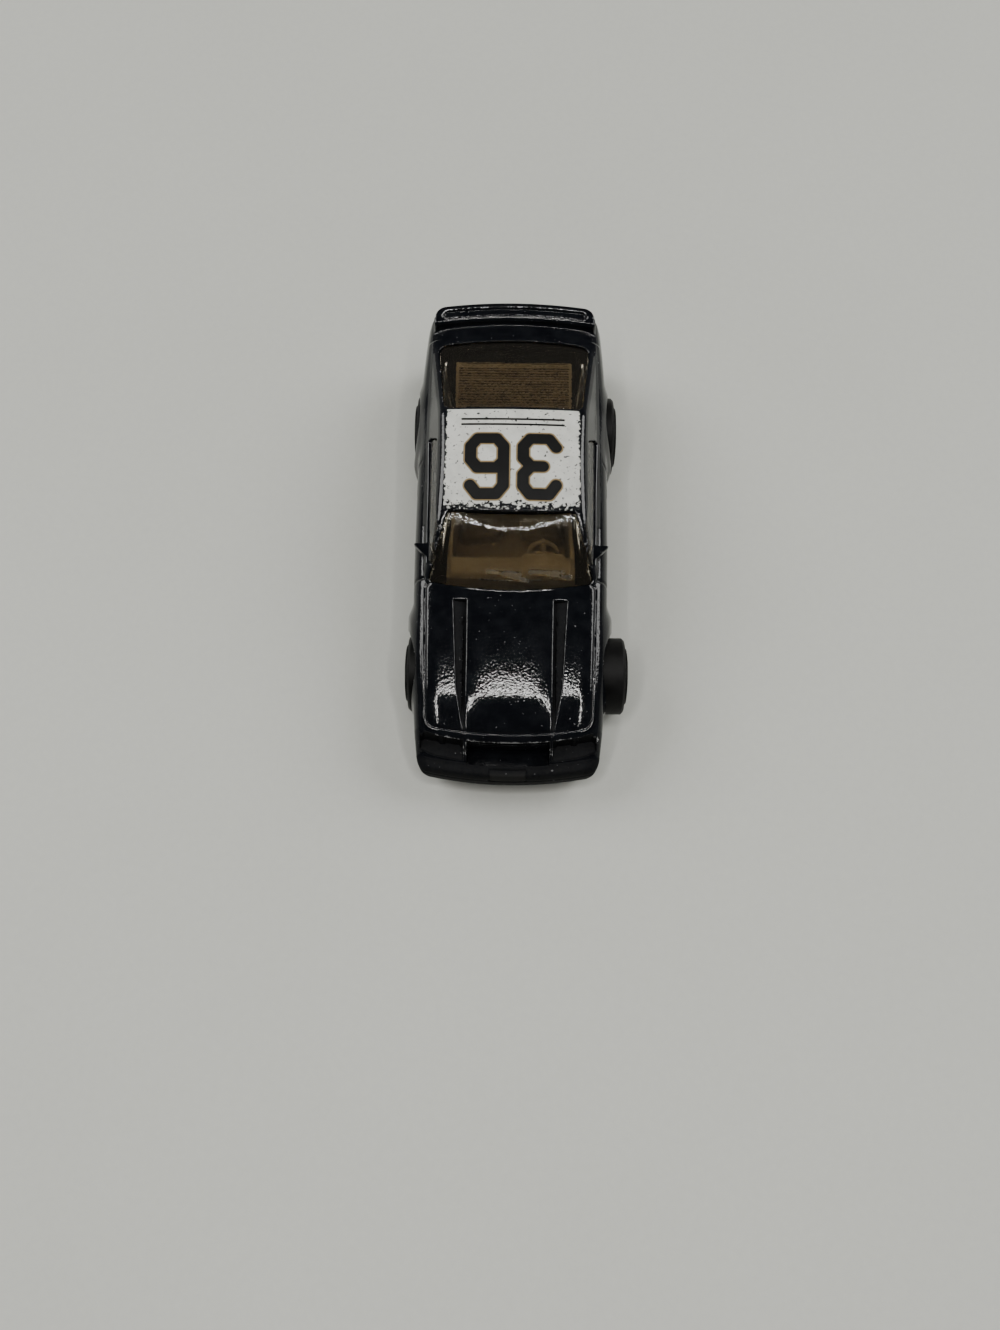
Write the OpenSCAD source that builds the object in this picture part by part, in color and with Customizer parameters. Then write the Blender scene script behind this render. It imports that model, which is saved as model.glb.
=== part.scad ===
// Toy police car: a small die-cast coupe that rolls on two loose axles.
// Millimetres. +Z is up, the nose points along -Y, and z = 0 is the flat underside of the base plate.

/* [Lengths] */
// From the nose to the front edge of the hood
nose_l = 4.9; // [4.5:0.1:5.5]
// Hood, from its front edge to the foot of the windscreen
hood_l = 21.2; // [20:0.1:22.5]
// Windscreen, measured level
screen_l = 10; // [9:0.1:11]
// Roof
roof_l = 16.6; // [15:0.1:18.5]
// Rear window, measured level
hatch_l = 15.4; // [14:0.1:17]
// Deck behind the rear window
deck_l = 5.9; // [5.5:0.1:7]
// From the nose to the front axle
front_overhang = 16.3; // [15.8:0.1:17]
// Between the two axles
wheelbase = 39.8; // [39:0.1:41]
// How far the bumper stands out from the lamps
bumper_d = 1.7; // [1.2:0.1:2]

/* [Heights above the base underside] */
// Lower edge of the sides
sill_z = 0.4; // [0.2:0.05:0.6]
// Lower edge of the nose and the tail
lip_z = 1.5; // [1.4:0.05:1.8]
// Top of the front bumper
bumper_z = 5.4; // [5:0.1:6]
// Front edge of the hood
hood_z = 8.9; // [8.5:0.1:9.5]
// How far the hood arches above a straight line from its front edge to the windscreen
hood_arch = 1; // [0.6:0.05:1.1]
// Foot of the windscreen
cowl_z = 12.1; // [11.7:0.1:12.6]
// Top of the windscreen
header_z = 17.5; // [17:0.1:18]
// Top of the roof
roof_z = 18; // [17.6:0.1:18.6]
// Top of the rear window
hatch_z = 17.6; // [17:0.1:18]
// Deck behind the rear window
deck_z = 13.3; // [12.9:0.1:13.8]
// Waistline, where the sides of the cabin start
waist_z = 12; // [11.7:0.1:12.4]
// Widest line of the sides
side_z = 6.5; // [5:0.1:7.5]
// Base underside above the floor
ride_height = 2; // [1.8:0.05:2.2]

/* [Widths] */
// Across the ends of the front bumper
nose_w = 26.4; // [25:0.1:27.5]
// Across the front fenders
fender_w = 28.2; // [27.6:0.1:28.8]
// Across the doors
door_w = 28.8; // [28.2:0.1:29.6]
// Across the tail
tail_w = 27; // [26:0.1:27.6]
// Across the waistline at the windscreen
cabin_w = 25.2; // [24.8:0.1:25.6]
// Across the waistline at the rear window
cabin_rear_w = 26; // [25.4:0.1:26.2]
// Across the roof at the top of the windscreen
roof_w = 20.6; // [20:0.1:21.2]
// How far the fender edge lies in from the widest line
shoulder = 1.2; // [0.9:0.05:1.4]
// How far the fender edge lies below the middle of the hood
shoulder_drop = 0.65; // [0.4:0.05:0.8]
// How far the sill lies in from the widest line
tuck = 0.7; // [0.4:0.05:1]
// How far the middle of the roof stands above its edges
roof_crown = 0.35; // [0.2:0.05:0.5]
// How far the nose and windscreen are bowed forward
front_bow = 1.8; // [1.2:0.1:2.2]
// How far the rear window and tail are bowed backward
rear_bow = 1.4; // [0.8:0.1:1.8]
// Rounding of the corners of the nose and tail in plan
corner_r = 0.8; // [0.5:0.1:1.2]

/* [Casting] */
// Wall of the casting
wall = 1.2; // [1:0.05:1.3]
// Gap between the wheels and their arches
arch_gap = 0.45; // [0.4:0.05:0.55]
// How far the arches flare out
flare_h = 0.85; // [0.4:0.05:1]
// Width of the band over which a flare fades into the side
flare_w = 3; // [2:0.1:4]
// Depth of the two hood recesses beside the dome
scoop_d = 0.85; // [0.4:0.05:0.9]
// Half width of the dome between the hood recesses
dome_w = 6.3; // [5.5:0.1:7]
// Width of each hood recess at the windscreen
scoop_w = 1.9; // [1.5:0.1:3]
// Depth of the tail lamp recesses
lamp_d = 0.6; // [0.3:0.05:0.8]
// Width of each headlamp pocket
lamp_w = 6.1; // [5:0.1:6.4]
// How far the shelf before the headlamps lies above the bumper
shelf_h = 0.35; // [0.2:0.05:0.6]
// How far the grille reaches down behind the bumper
grille_h = 1.8; // [1:0.1:2.2]
// Lip of the hood above the lamps and the grille
lip_t = 0.6; // [0.5:0.05:0.8]
// Width of each tail lamp recess
tail_lamp_w = 8; // [6:0.1:8.6]
// Height of the tail lamps
tail_lamp_h = 2.8; // [2:0.1:3.4]
// Width of the spoiler
spoiler_w = 25; // [23:0.1:25.6]
// Length of the spoiler along the car
spoiler_l = 3.4; // [2.8:0.1:4]
// Height of the spoiler above the deck
spoiler_h = 1; // [0.6:0.1:1.4]
// How far the spoiler reaches down into the tail
spoiler_root = 2.5; // [1.5:0.1:3]
// Reach of the mirrors from the middle of the car
mirror_x = 14.8; // [14.2:0.1:15.2]
// Height of the mirrors
mirror_z = 12.3; // [12:0.1:12.8]
// Diameter of the two posts that hold the base on
post_d = 3.2; // [2.8:0.1:3.6]
// Diameter of the spun-over end of a post
rivet_d = 4.8; // [4.4:0.1:5.2]

/* [Windows] */
// Width of the windscreen at its foot
screen_foot_w = 23.6; // [22.6:0.1:24]
// Width of the windscreen at its top
screen_top_w = 18.6; // [17.6:0.1:19.2]
// Width of the rear window at its top
hatch_top_w = 20; // [19:0.1:20.4]
// Width of the rear window at its foot
hatch_foot_w = 23.4; // [22:0.1:23.8]
// Frame left around the windows
frame_w = 0.7; // [0.5:0.05:0.9]
// Wall of the window moulding
glass_t = 0.9; // [0.7:0.05:1]
// How far the panes lie below the casting's skin
glass_set = 0.3; // [0.2:0.05:0.4]
// Gap between the window moulding and the casting
glass_gap = 0.12; // [0.08:0.01:0.2]

/* [Base] */
// Thickness of the base plate
floor_t = 1.3; // [1.2:0.05:1.35]
// Gap between the base plate and the casting
base_gap = 0.15; // [0.1:0.01:0.2]
// Depth of the relief in the underside
relief_d = 0.7; // [0.4:0.05:0.8]
// Width of the relief in the underside
relief_w = 11; // [9:0.1:13]

/* [Wheels and axles] */
// Diameter of the front wheels
front_wheel_d = 11.3; // [11:0.1:11.6]
// Diameter of the rear wheels
rear_wheel_d = 12.2; // [11.8:0.1:12.6]
// Width of the front wheels
front_wheel_w = 4.5; // [4.2:0.1:4.6]
// Width of the rear wheels
rear_wheel_w = 4.9; // [4.6:0.1:5]
// Distance over the outer faces of the front wheels
front_track = 32.3; // [31.8:0.1:32.8]
// Distance over the outer faces of the rear wheels
rear_track = 31.2; // [30.9:0.1:31.6]
// How far the front axle stands to the left
front_shift = 1.02; // [0:0.01:1.02]
// How far the rear axle stands to the left
rear_shift = 0.36; // [0:0.01:0.45]
// Sideways travel of the front axle
front_float = 2.04; // [2.04:0.01:2.2]
// Sideways travel of the rear axle
rear_float = 0.9; // [0.9:0.01:1]
// Tread to the edge of the raised ring
ring_in = 1.5; // [1.2:0.1:1.7]
// How far the ring stands proud of the tread
ring_h = 0.4; // [0.2:0.05:0.5]
// Width of the ring
ring_w = 0.8; // [0.6:0.1:1]
// Depth of the dish inside the ring
dish_d = 0.7; // [0.5:0.05:0.9]
// Number of spokes
spokes = 5; // [4:1:6]
// Width of a spoke
spoke_w = 1.1; // [0.8:0.1:1.3]
// Diameter of the hub
hub_d = 2.9; // [2.7:0.1:3.2]
// Diameter of the axles
axle_d = 1.2; // [1:0.1:1.3]
// Diameter of the axle heads
head_d = 2; // [1.9:0.1:2.2]
// Thickness of the axle heads
head_t = 0.4; // [0.3:0.05:0.5]
// Radial clearance of the wheels on the axles
wheel_clear = 0.06; // [0.04:0.01:0.1]
// Clearance of the axles in their bearings
axle_clear = 0.1; // [0.08:0.01:0.15]
// Clearance left at the stops
stop_gap = 0.1; // [0.08:0.01:0.15]

/* [Interior] */
// Width of the passenger tub
tub_w = 18.8; // [17:0.1:19.2]
// Wall of the tray
tray_t = 0.8; // [0.6:0.05:1]
// Width of a seat
seat_w = 6.4; // [5.6:0.1:7]
// Height of a seat back above the floor of the tub
seat_h = 9; // [8:0.1:9.6]
// Width of the load floor
load_w = 19; // [17:0.1:19.2]
// Height of the load floor
load_z = 10.6; // [10.2:0.1:10.8]
// Pitch of the ribs on the load floor
rib_pitch = 1; // [0.8:0.1:1.4]
// Diameter of the steering wheel
steer_d = 4.2; // [3.6:0.1:4.8]

/* [Hidden] */
$fn = 48;
// Facets of small rounded corners
fine = 24;
// A cut runs this far past the face it opens
past = 1;
// Smallest rounding on the casting
edge = 0.4;

// Places along the car
body_l = nose_l + hood_l + screen_l + roof_l + hatch_l + deck_l;
nose_y = -body_l / 2;
tail_y = body_l / 2;
bumper_y = nose_y + bumper_d;
hood_y = nose_y + nose_l;
cowl_y = hood_y + hood_l;
header_y = cowl_y + screen_l;
roof_end_y = header_y + roof_l;
hatch_end_y = roof_end_y + hatch_l;
front_y = nose_y + front_overhang;
rear_y = front_y + wheelbase;
front_post_y = hood_y + post_d;
rear_post_y = hatch_end_y + post_d / 2 + edge;
front_z = front_wheel_d / 2 - ride_height;
rear_z = rear_wheel_d / 2 - ride_height;

// Where the inner faces of the wheels stop against the bearings
front_stop = front_track / 2 - front_wheel_w - front_float / 2 - stop_gap;
rear_stop = rear_track / 2 - rear_wheel_w - rear_float / 2 - stop_gap;

// Slope of the chord between two neighbouring points of a table
function chord(t, i) = (t[i + 1][1] - t[i][1]) / (t[i + 1][0] - t[i][0]);
// Tangent at a point: level at a peak, otherwise the harmonic mean of the chords beside it
function tangent(t, i) =
    i == 0 ? chord(t, 0) :
    i == len(t) - 1 ? chord(t, i - 1) :
    let (a = chord(t, i - 1), b = chord(t, i))
    a * b <= 0 ? 0 : 2 * a * b / (a + b);
// Number of the span of a table that holds y
function span(t, y, i = 0) = i >= len(t) - 2 || y < t[i + 1][0] ? i : span(t, y, i + 1);
// Smooth curve through a table of [y, value] points, without waves between them
function curve(t, y) =
    let (i = span(t, y), h = t[i + 1][0] - t[i][0], s = min(1, max(0, (y - t[i][0]) / h)))
    let (a = t[i][1], b = t[i + 1][1], ma = tangent(t, i) * h, mb = tangent(t, i + 1) * h)
    a + s * (ma + s * (3 * (b - a) - 2 * ma - mb + s * (2 * (a - b) + ma + mb)));
// Evenly spaced values from a to b
function steps(a, b, n) = [for (i = [0:n]) a + (b - a) * i / n];

// Lines of the lower body: its middle, its widest line, its lower edge and the bow of its sections in plan
arch_at = 0.28;
arch_y = hood_y + arch_at * hood_l;
arch_z = hood_z + arch_at * (cowl_z - hood_z) + hood_arch;
top_line = [[nose_y, bumper_z - 3 * edge], [nose_y + edge, bumper_z - edge], [bumper_y, bumper_z],
    [hood_y - edge, hood_z - edge], [hood_y + edge, hood_z + edge / 2], [arch_y, arch_z], [cowl_y, cowl_z],
    [hatch_end_y, deck_z], [tail_y - edge, deck_z - edge], [tail_y, deck_z - 3 * edge]];
side_line = [[nose_y, nose_w / 2 - corner_r], [bumper_y, nose_w / 2], [front_y, fender_w / 2],
    [header_y, door_w / 2], [rear_y, door_w / 2], [tail_y - corner_r, tail_w / 2],
    [tail_y, tail_w / 2 - corner_r]];
drop_line = [[nose_y, shoulder_drop / 3], [arch_y, shoulder_drop], [tail_y, shoulder_drop]];
low_line = [[nose_y, lip_z], [hood_y, lip_z], [hood_y + edge, sill_z], [hatch_end_y, sill_z],
    [hatch_end_y + edge, lip_z], [tail_y, lip_z]];
bow_line = [[nose_y, front_bow], [cowl_y, front_bow], [header_y, front_bow / 4], [roof_end_y, -rear_bow / 4],
    [hatch_end_y, -rear_bow], [tail_y, -rear_bow]];

// A section point set back or forward by the bow
function place(p, y) = [p.x, y + curve(bow_line, y) * pow(2 * p.x / door_w, 2), p.y];
// A whole section ring from its right half, which runs from the lower edge up to the middle
function ring(half, y) = let (m = len(half) - 1) concat(
    [for (p = half) place(p, y)],
    [for (i = [m - 1:-1:0]) place([-half[i].x, half[i].y], y)]);

// Radii of the wheel arches, and how far a flare stands out at a point of the side
front_arch_r = front_wheel_d / 2 + arch_gap;
rear_arch_r = rear_wheel_d / 2 + arch_gap;
function fade(d) = let (t = min(1, max(0, d / flare_w))) flare_h * pow(1 - t * t, 2);
function flare(y, z) = max(
    fade(norm([y - front_y, z - front_z]) - front_arch_r),
    fade(norm([y - rear_y, z - rear_z]) - rear_arch_r));

// Half section of the lower body, drawn in by the wall for the hollow inside it
side_n = 5;
crown_n = 6;
function body_half(y, inset = 0, low = undef) =
    let (zt = curve(top_line, y) - inset, zh = zt - curve(drop_line, y))
    let (zb = is_undef(low) ? curve(low_line, y) : low, zm = min(side_z, (zb + zh) / 2))
    let (xm = curve(side_line, y) - inset, xh = xm - shoulder, xs = xm - tuck)
    concat(
        [for (i = [0:side_n - 1]) let (s = i / side_n, z = zb + (zm - zb) * s)
            [xm - (xm - xs) * pow(1 - s, 2) + flare(y, z), z]],
        [for (i = [0:side_n - 1]) let (s = i / side_n, z = zm + (zh - zm) * s)
            [xm - (xm - xh) * s * s + flare(y, z) * (1 - s), z]],
        [for (i = [0:crown_n]) let (x = xh * (1 - i / crown_n)) [x, zt - (zt - zh) * pow(x / xh, 2)]]);

// Half section of the cabin: upright below the waist, then leaning in to the edge of the roof
lean = (cabin_w - roof_w) / 2 / (header_z - waist_z);
screen_rise = (header_z - cowl_z) / screen_l;
hatch_fall = (hatch_z - deck_z) / hatch_l;
lean_slant = norm([1, lean]);
screen_slant = norm([1, screen_rise]);
waist_line = [[cowl_y, cabin_w / 2], [roof_end_y, cabin_rear_w / 2]];
// The windscreen bends over toward the roof: shares of its length and of its straight rise
screen_bend = [[0, 0], [0.34, 0.39], [0.63, 0.69], [0.83, 0.84], [1, 0.917]];
foot_rise = chord(screen_bend, 0) * screen_rise;
roof_line = concat([for (p = screen_bend) [cowl_y + p[0] * screen_l, cowl_z + p[1] * (header_z - cowl_z)]],
    [[(header_y + roof_end_y) / 2, roof_z], [roof_end_y, hatch_z]]);
function cabin_top(y) =
    y < cowl_y ? cowl_z + (y - cowl_y) * screen_rise :
    y > roof_end_y ? hatch_z - (y - roof_end_y) * hatch_fall :
    curve(roof_line, y);
function cabin_half(y, inset, low) =
    let (zt = cabin_top(y) - inset * screen_slant, ze = zt - roof_crown, zw = min(waist_z, (max(low, ze - edge) + ze) / 2))
    let (xw = curve(waist_line, y) - inset * lean_slant, xe = xw - (ze - zw) * lean)
    concat(
        [[xw, low]],
        [for (i = [0:2]) let (s = i / 2) [xw + (xe - xw) * s, zw + (ze - zw) * s]],
        [for (i = [1:crown_n]) let (x = xe * (1 - i / crown_n)) [x, zt - roof_crown * pow(x / xe, 2)]]);

// A solid skinned over a row of section rings
module loft(rings) {
    n = len(rings[0]);
    m = (n - 1) / 2;
    last = (len(rings) - 1) * n;
    skin = [for (k = [0:len(rings) - 2], i = [0:n - 1])
        let (a = k * n + i, b = k * n + (i + 1) % n) each [[a, b, b + n], [a, b + n, a + n]]];
    back = [for (i = [0:m - 1]) i == m - 1 ? [i, i + 1, i + 2] : [i, i + 1, n - 2 - i, n - 1 - i]];
    front = [for (f = back) [for (k = [len(f) - 1:-1:0]) f[k]]];
    polyhedron([for (r = rings) each r], concat(skin, front, [for (f = back) [for (i = f) i + last]]));
}

// Rounded corners at a list of points, as one outline
module pane(corners, r) {
    hull()
        for (c = corners)
            translate(c)
                circle(r, $fn = fine);
}

// The lower body, solid, or its hollow when it is drawn in by the wall
nose_steps = [for (d = [0, 0.3, 1, 2, 4]) nose_y + d * edge];
lamp_steps = steps(bumper_y, hood_y - edge, 3);
hood_steps = steps(hood_y + edge, cowl_y, 14);
door_steps = steps(cowl_y + 1, hatch_end_y, 24);
tail_steps = concat(steps(hatch_end_y + edge, tail_y - 2 * edge, 3), [for (d = [1, 0.4, 0]) tail_y - d * edge]);
module lower_body()
    loft([for (y = concat(nose_steps, lamp_steps, [hood_y], hood_steps, door_steps, tail_steps))
        ring(body_half(y), y)]);
module lower_hollow()
    loft([for (y = concat(steps(hood_y + wall, cowl_y, 9), steps(cowl_y + 1, tail_y - wall, 14)))
        ring(body_half(y, wall, -past), y)]);

// The cabin, solid, drawn in by inset, from low upward and between two places along the car
module cabin(inset, low, start, end)
    loft([for (y = concat(steps(start, header_y, 5), steps(header_y + edge, roof_end_y, 6),
        steps(roof_end_y + edge, end, 6))) ring(cabin_half(y, inset, low), y)]);

// Window openings, drawn in by gap for the panes that fill them
pane_r = 0.5;
hatch_r = 1.3;
screen_angle = atan(screen_rise);
hatch_angle = atan(hatch_fall);
screen_long = screen_l * screen_slant;
hatch_long = norm([hatch_l, hatch_z - deck_z]);
pane_reach = 3;
function foot_bow(bow, w) = bow * pow(w / door_w, 2);
module screen_cut(gap) {
    foot = screen_foot_w / 2 - pane_r;
    top = screen_top_w / 2 - pane_r;
    translate([0, cowl_y, cowl_z])
        rotate([screen_angle, 0, 0])
            linear_extrude(2 * pane_reach, center = true)
                pane(concat(
                    [for (s = [-1:0.25:1])
                        [s * foot, foot_bow(front_bow, screen_foot_w * s) * screen_slant + frame_w + pane_r]],
                    [for (s = [-1, 1]) [s * top, screen_long - frame_w - pane_r]]), pane_r - gap);
}
module hatch_cut(gap) {
    foot = hatch_foot_w / 2 - hatch_r;
    top = hatch_top_w / 2 - hatch_r;
    translate([0, roof_end_y, hatch_z])
        rotate([-hatch_angle, 0, 0])
            linear_extrude(2 * pane_reach, center = true)
                pane(concat(
                    [for (s = [-1:0.25:1])
                        [s * foot, hatch_long - foot_bow(rear_bow, hatch_foot_w * s) - frame_w - hatch_r]],
                    [for (s = [-1, 1]) [s * top, frame_w + hatch_r]]), hatch_r - gap);
}
side_low = waist_z + frame_w;
side_high = header_z - 2 * roof_crown - frame_w;
pillar_w = 2 * frame_w;
function pillar_y(z) = cowl_y + (z - cowl_z) / screen_rise + frame_w + pillar_w;
module side_cut(gap, side) {
    rotate([90, 0, 90])
        translate([0, 0, side * (roof_w / 2 + pane_reach)])
            linear_extrude(4 * pane_reach - 2 * gap, center = true)
                pane([[pillar_y(side_low) + pane_r, side_low + pane_r], [pillar_y(side_high), side_high - pane_r],
                    [roof_end_y - pane_reach - pillar_w, side_high - pane_r],
                    [roof_end_y - pane_reach, side_low + pane_r]], pane_r - gap);
}
module window_cuts(gap) {
    screen_cut(gap);
    hatch_cut(gap);
    for (side = [-1, 1])
        side_cut(gap, side);
}

// Wheel wells: round cuts through the sides, as deep as the wheels reach inward
well_x = min(front_stop, rear_stop) - stop_gap;
module wells()
    for (side = [-1, 1], w = [[front_y, front_z, front_arch_r], [rear_y, rear_z, rear_arch_r]])
        translate([side * well_x, w[0], w[1]])
            rotate([0, side * 90, 0])
                cylinder(r = w[2], h = door_w / 2);

// The two tapered recesses that leave a dome along the hood; their floors fall toward the dome
scoop_y = hood_y + 2 * edge;
scoop_end = cowl_y - 2 * edge;
scoop_tip = 0.2;
scoop_run = 0.25;
shallow = 0.25;
function hood_skin(x, y) = let (s = y - foot_bow(front_bow, 2 * x))
    curve(top_line, s) - curve(drop_line, s) * pow(x / (curve(side_line, s) - shoulder), 2);
function scoop_ring(y) =
    let (s = (y - scoop_y) / (scoop_end - scoop_y), d = scoop_d * min(1, scoop_tip + s / scoop_run))
    let (out = dome_w + scoop_tip + (scoop_w - scoop_tip) * sqrt(s), high = cowl_z + past)
    [[out, y, hood_skin(out, y) - d * shallow], [out, y, high], [(out + dome_w) / 2, y, high], [dome_w, y, high],
        [dome_w, y, hood_skin(dome_w, y) - d]];
module scoops()
    for (side = [0, 1])
        mirror([side, 0, 0])
            loft([for (y = steps(scoop_y, scoop_end, 8)) scoop_ring(y)]);

// Deep pockets under the lip of the hood: lamps behind a shelf, and the grille between them
lamp_x = dome_w + lamp_w / 2;
lamp_back = hood_y - lip_t;
grille_y = bumper_y + edge / 4;
grille_back = hood_y - edge / 4;
pocket_z = hood_z - lip_t;
shelf_z = bumper_z + shelf_h;
function bow_turn(bow, x) = atan(8 * bow * x / pow(door_w, 2));
module pocket(x, w, corners)
    translate([x, foot_bow(front_bow, 2 * x), 0])
        rotate([90, 0, 90 + bow_turn(front_bow, x)])
            linear_extrude(w, center = true)
                polygon(corners);
module nose_cuts() {
    for (side = [-1, 1])
        pocket(side * lamp_x, lamp_w, [[nose_y, shelf_z], [lamp_back, shelf_z + edge / 2],
            [lamp_back + edge, pocket_z], [nose_y, pocket_z]]);
    pocket(0, 2 * dome_w - 2 * edge, [[grille_y, bumper_z - grille_h], [grille_back, bumper_z - grille_h],
        [grille_back, pocket_z], [grille_y, pocket_z]]);
}

// Recessed tail lamps and plate panel
tail_lamp_z = (lip_z + deck_z) / 2 + tail_lamp_h / 2;
tail_lamp_x = tail_w / 2 - corner_r - shoulder - tail_lamp_w / 2;
module tail_cut(x, z, w, h)
    translate([x, tail_y - foot_bow(rear_bow, 2 * x) - lamp_d, z])
        rotate([0, 0, -bow_turn(rear_bow, x)])
            rotate([-90, 0, 0])
                linear_extrude(pane_reach)
                    pane([for (i = [-1, 1], j = [-1, 1]) [i * (w / 2 - edge), j * (h / 2 - edge)]], edge);
module tail_cuts() {
    for (side = [-1, 1])
        tail_cut(side * tail_lamp_x, tail_lamp_z, tail_lamp_w, tail_lamp_h);
    tail_cut(0, tail_lamp_z - tail_lamp_h, tail_lamp_w - 2 * edge, tail_lamp_h);
}

// Raised tail spoiler, bowed like the tail, with a shallow long dish in its top
spoiler_y = tail_y - spoiler_l;
spoiler_end = tail_y - edge / 4;
module spoiler() {
    rise = [[spoiler_y, 0], [spoiler_y + edge, spoiler_h - edge], [tail_y - edge, spoiler_h],
        [spoiler_end, spoiler_h - edge]];
    reach = [[spoiler_y, spoiler_w / 2 - edge], [spoiler_y + edge, spoiler_w / 2], [spoiler_end, spoiler_w / 2 - edge]];
    loft([for (y = concat(steps(spoiler_y, spoiler_y + edge, 2), steps(spoiler_y + 2 * edge, spoiler_end, 5)))
        let (z = deck_z + curve(rise, y), x = curve(reach, y))
        ring([[x, deck_z - spoiler_root], [x, z - edge], [x - edge, z], [x / 2, z], [0, z]], y)]);
}
dish_z = 0.25;
module spoiler_dish()
    translate([0, 0, deck_z + spoiler_h - dish_z])
        linear_extrude(past)
            pane([for (s = [-1:0.25:1]) let (x = s * (spoiler_w / 2 - 4 * edge))
                [x, tail_y - spoiler_l / 2 - foot_bow(rear_bow, 2 * x)]], spoiler_l / 4);

// Door mirrors: wedges with a flat back
mirror_y = header_y - 2 * frame_w * 2;
mirror_l = 2.4;
mirror_h = 1.3;
module mirrors()
    for (side = [0, 1])
        mirror([side, 0, 0])
            hull() {
                translate([mirror_x - 2 * mirror_h, mirror_y - edge, mirror_z - mirror_h / 2])
                    cube([2 * mirror_h, edge, mirror_h]);
                translate([mirror_x - 2 * mirror_h, mirror_y - mirror_l, mirror_z - mirror_h / 2])
                    cube([mirror_h / 2, edge, mirror_h - edge]);
            }

// Posts that pass through the base and are spun over under it, and the two feet that keep the front axle down
rivet_z = 0.15;
rivet_t = 0.6;
foot_x = dome_w - 2 * edge;
foot_w = 1.6;
foot_z = front_z + axle_d / 2 + axle_clear;
module posts() {
    for (y = [front_post_y, rear_post_y]) {
        translate([0, y, rivet_z])
            cylinder(d = post_d, h = curve(top_line, y) - wall / 2 - rivet_z, $fn = fine);
        translate([0, y, rivet_z])
            cylinder(d = rivet_d, h = rivet_t, $fn = fine);
    }
    for (side = [-1, 1])
        translate([side * foot_x - foot_w / 2, front_y - foot_w / 2, foot_z])
            cube([foot_w, foot_w, curve(top_line, front_y) - shoulder_drop - wall / 2 - foot_z]);
}

module body_shell() {
    color([0.03, 0.03, 0.035])
        union() {
            difference() {
                union() {
                    lower_body();
                    cabin(0, waist_z - shoulder, cowl_y - edge, hatch_end_y + edge);
                    spoiler();
                    mirrors();
                }
                lower_hollow();
                base_seat();
                cabin(wall, sill_z, cowl_y + edge, hatch_end_y - edge);
                window_cuts(0);
                wells();
                scoops();
                nose_cuts();
                tail_cuts();
                spoiler_dish();
            }
            posts();
        }
}

// Ribs that carry the axles
bearing_w = 1.6;
bearing_l = 3.6;
module bearing(stop, y, z)
    for (side = [0, 1])
        mirror([side, 0, 0])
            difference() {
                translate([stop - bearing_w, y - bearing_l / 2, floor_t / 2])
                    cube([bearing_w, bearing_l, z + axle_d / 2 - floor_t / 2]);
                translate([stop - bearing_w - past, y, z])
                    rotate([0, 90, 0])
                        cylinder(d = axle_d + 2 * axle_clear, h = bearing_w + 2 * past);
                translate([stop - bearing_w - past, y - axle_d / 2 - axle_clear, z])
                    cube([bearing_w + 2 * past, axle_d + 2 * axle_clear, axle_d]);
            }

// Outline of the base plate: inside the casting along the sides, below it at the nose and the tail
lip_in = 0.7;
base_start = nose_y + lip_in;
base_end = tail_y - lip_in;
seat_line = [[nose_y, lip_in], [hood_y, lip_in], [hood_y + edge, wall + base_gap],
    [hatch_end_y, wall + base_gap], [hatch_end_y + edge, lip_in], [tail_y, lip_in]];
function base_x(y) = curve(side_line, y) - tuck - curve(seat_line, y);
function flat(x, y) = let (p = place([x, 0], y)) [p.x, p.y];
base_side = concat(steps(base_start, hood_y, 4), steps(hood_y + edge, hatch_end_y, 12),
    steps(hatch_end_y + edge, base_end, 3));
base_outline = concat(
    [for (s = steps(-0.75, 0.75, 6)) flat(s * base_x(base_start), base_start)],
    [for (y = base_side) flat(base_x(y), y)],
    [for (s = steps(0.75, -0.75, 6)) flat(s * base_x(base_end), base_end)],
    [for (i = [len(base_side) - 1:-1:0]) flat(-base_x(base_side[i]), base_side[i])]);

// Room in the casting for the base plate
module base_seat()
    translate([0, 0, -past])
        linear_extrude(past + floor_t + base_gap)
            offset(delta = base_gap)
                polygon(base_outline);

// Relief in the underside, in two bays: gearbox and drive shaft down the middle, exhaust with a silencer beside it
pipe_r = 0.55;
bay_gap = 4;
front_bay = [front_y + 2 * bearing_l / 3, -bay_gap / 2];
rear_bay = [bay_gap / 2, rear_y - 2 * bearing_l / 3];
module rod(x, start, end, r)
    translate([x, start, relief_d + r / 2])
        rotate([-90, 0, 0])
            cylinder(r = r, h = end - start);
module relief()
    for (bay = [front_bay, rear_bay])
        difference() {
            translate([-relief_w / 2, bay[0], -past])
                cube([relief_w, bay[1] - bay[0], relief_d + past]);
            rod(0, bay[0] - past, bay[1] + past, bay == front_bay ? 2 * pipe_r : pipe_r);
            rod(relief_w / 3, bay[0] - past, bay[1] + past, pipe_r);
            if (bay == rear_bay)
                rod(relief_w / 3, bay[0] + bay_gap / 2, bay[1] - bay_gap / 2, 1.6 * pipe_r);
        }

module base_plate() {
    color([0.06, 0.06, 0.065])
        difference() {
            union() {
                difference() {
                    linear_extrude(floor_t)
                        polygon(base_outline);
                    for (side = [0, 1], w = [[front_y, front_arch_r, front_stop], [rear_y, rear_arch_r, rear_stop]])
                        mirror([side, 0, 0])
                            translate([w[2], w[0] - w[1], -past])
                                cube([door_w, 2 * w[1], floor_t + 2 * past]);
                }
                bearing(front_stop, front_y, front_z);
                bearing(rear_stop, rear_y, rear_z);
            }
            for (y = [front_post_y, rear_post_y]) {
                translate([0, y, -past])
                    cylinder(d = post_d + 2 * base_gap, h = floor_t + 2 * past);
                translate([0, y, -past])
                    cylinder(d = rivet_d + 2 * base_gap, h = rivet_z + rivet_t + base_gap + past);
            }
            relief();
        }
}

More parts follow.
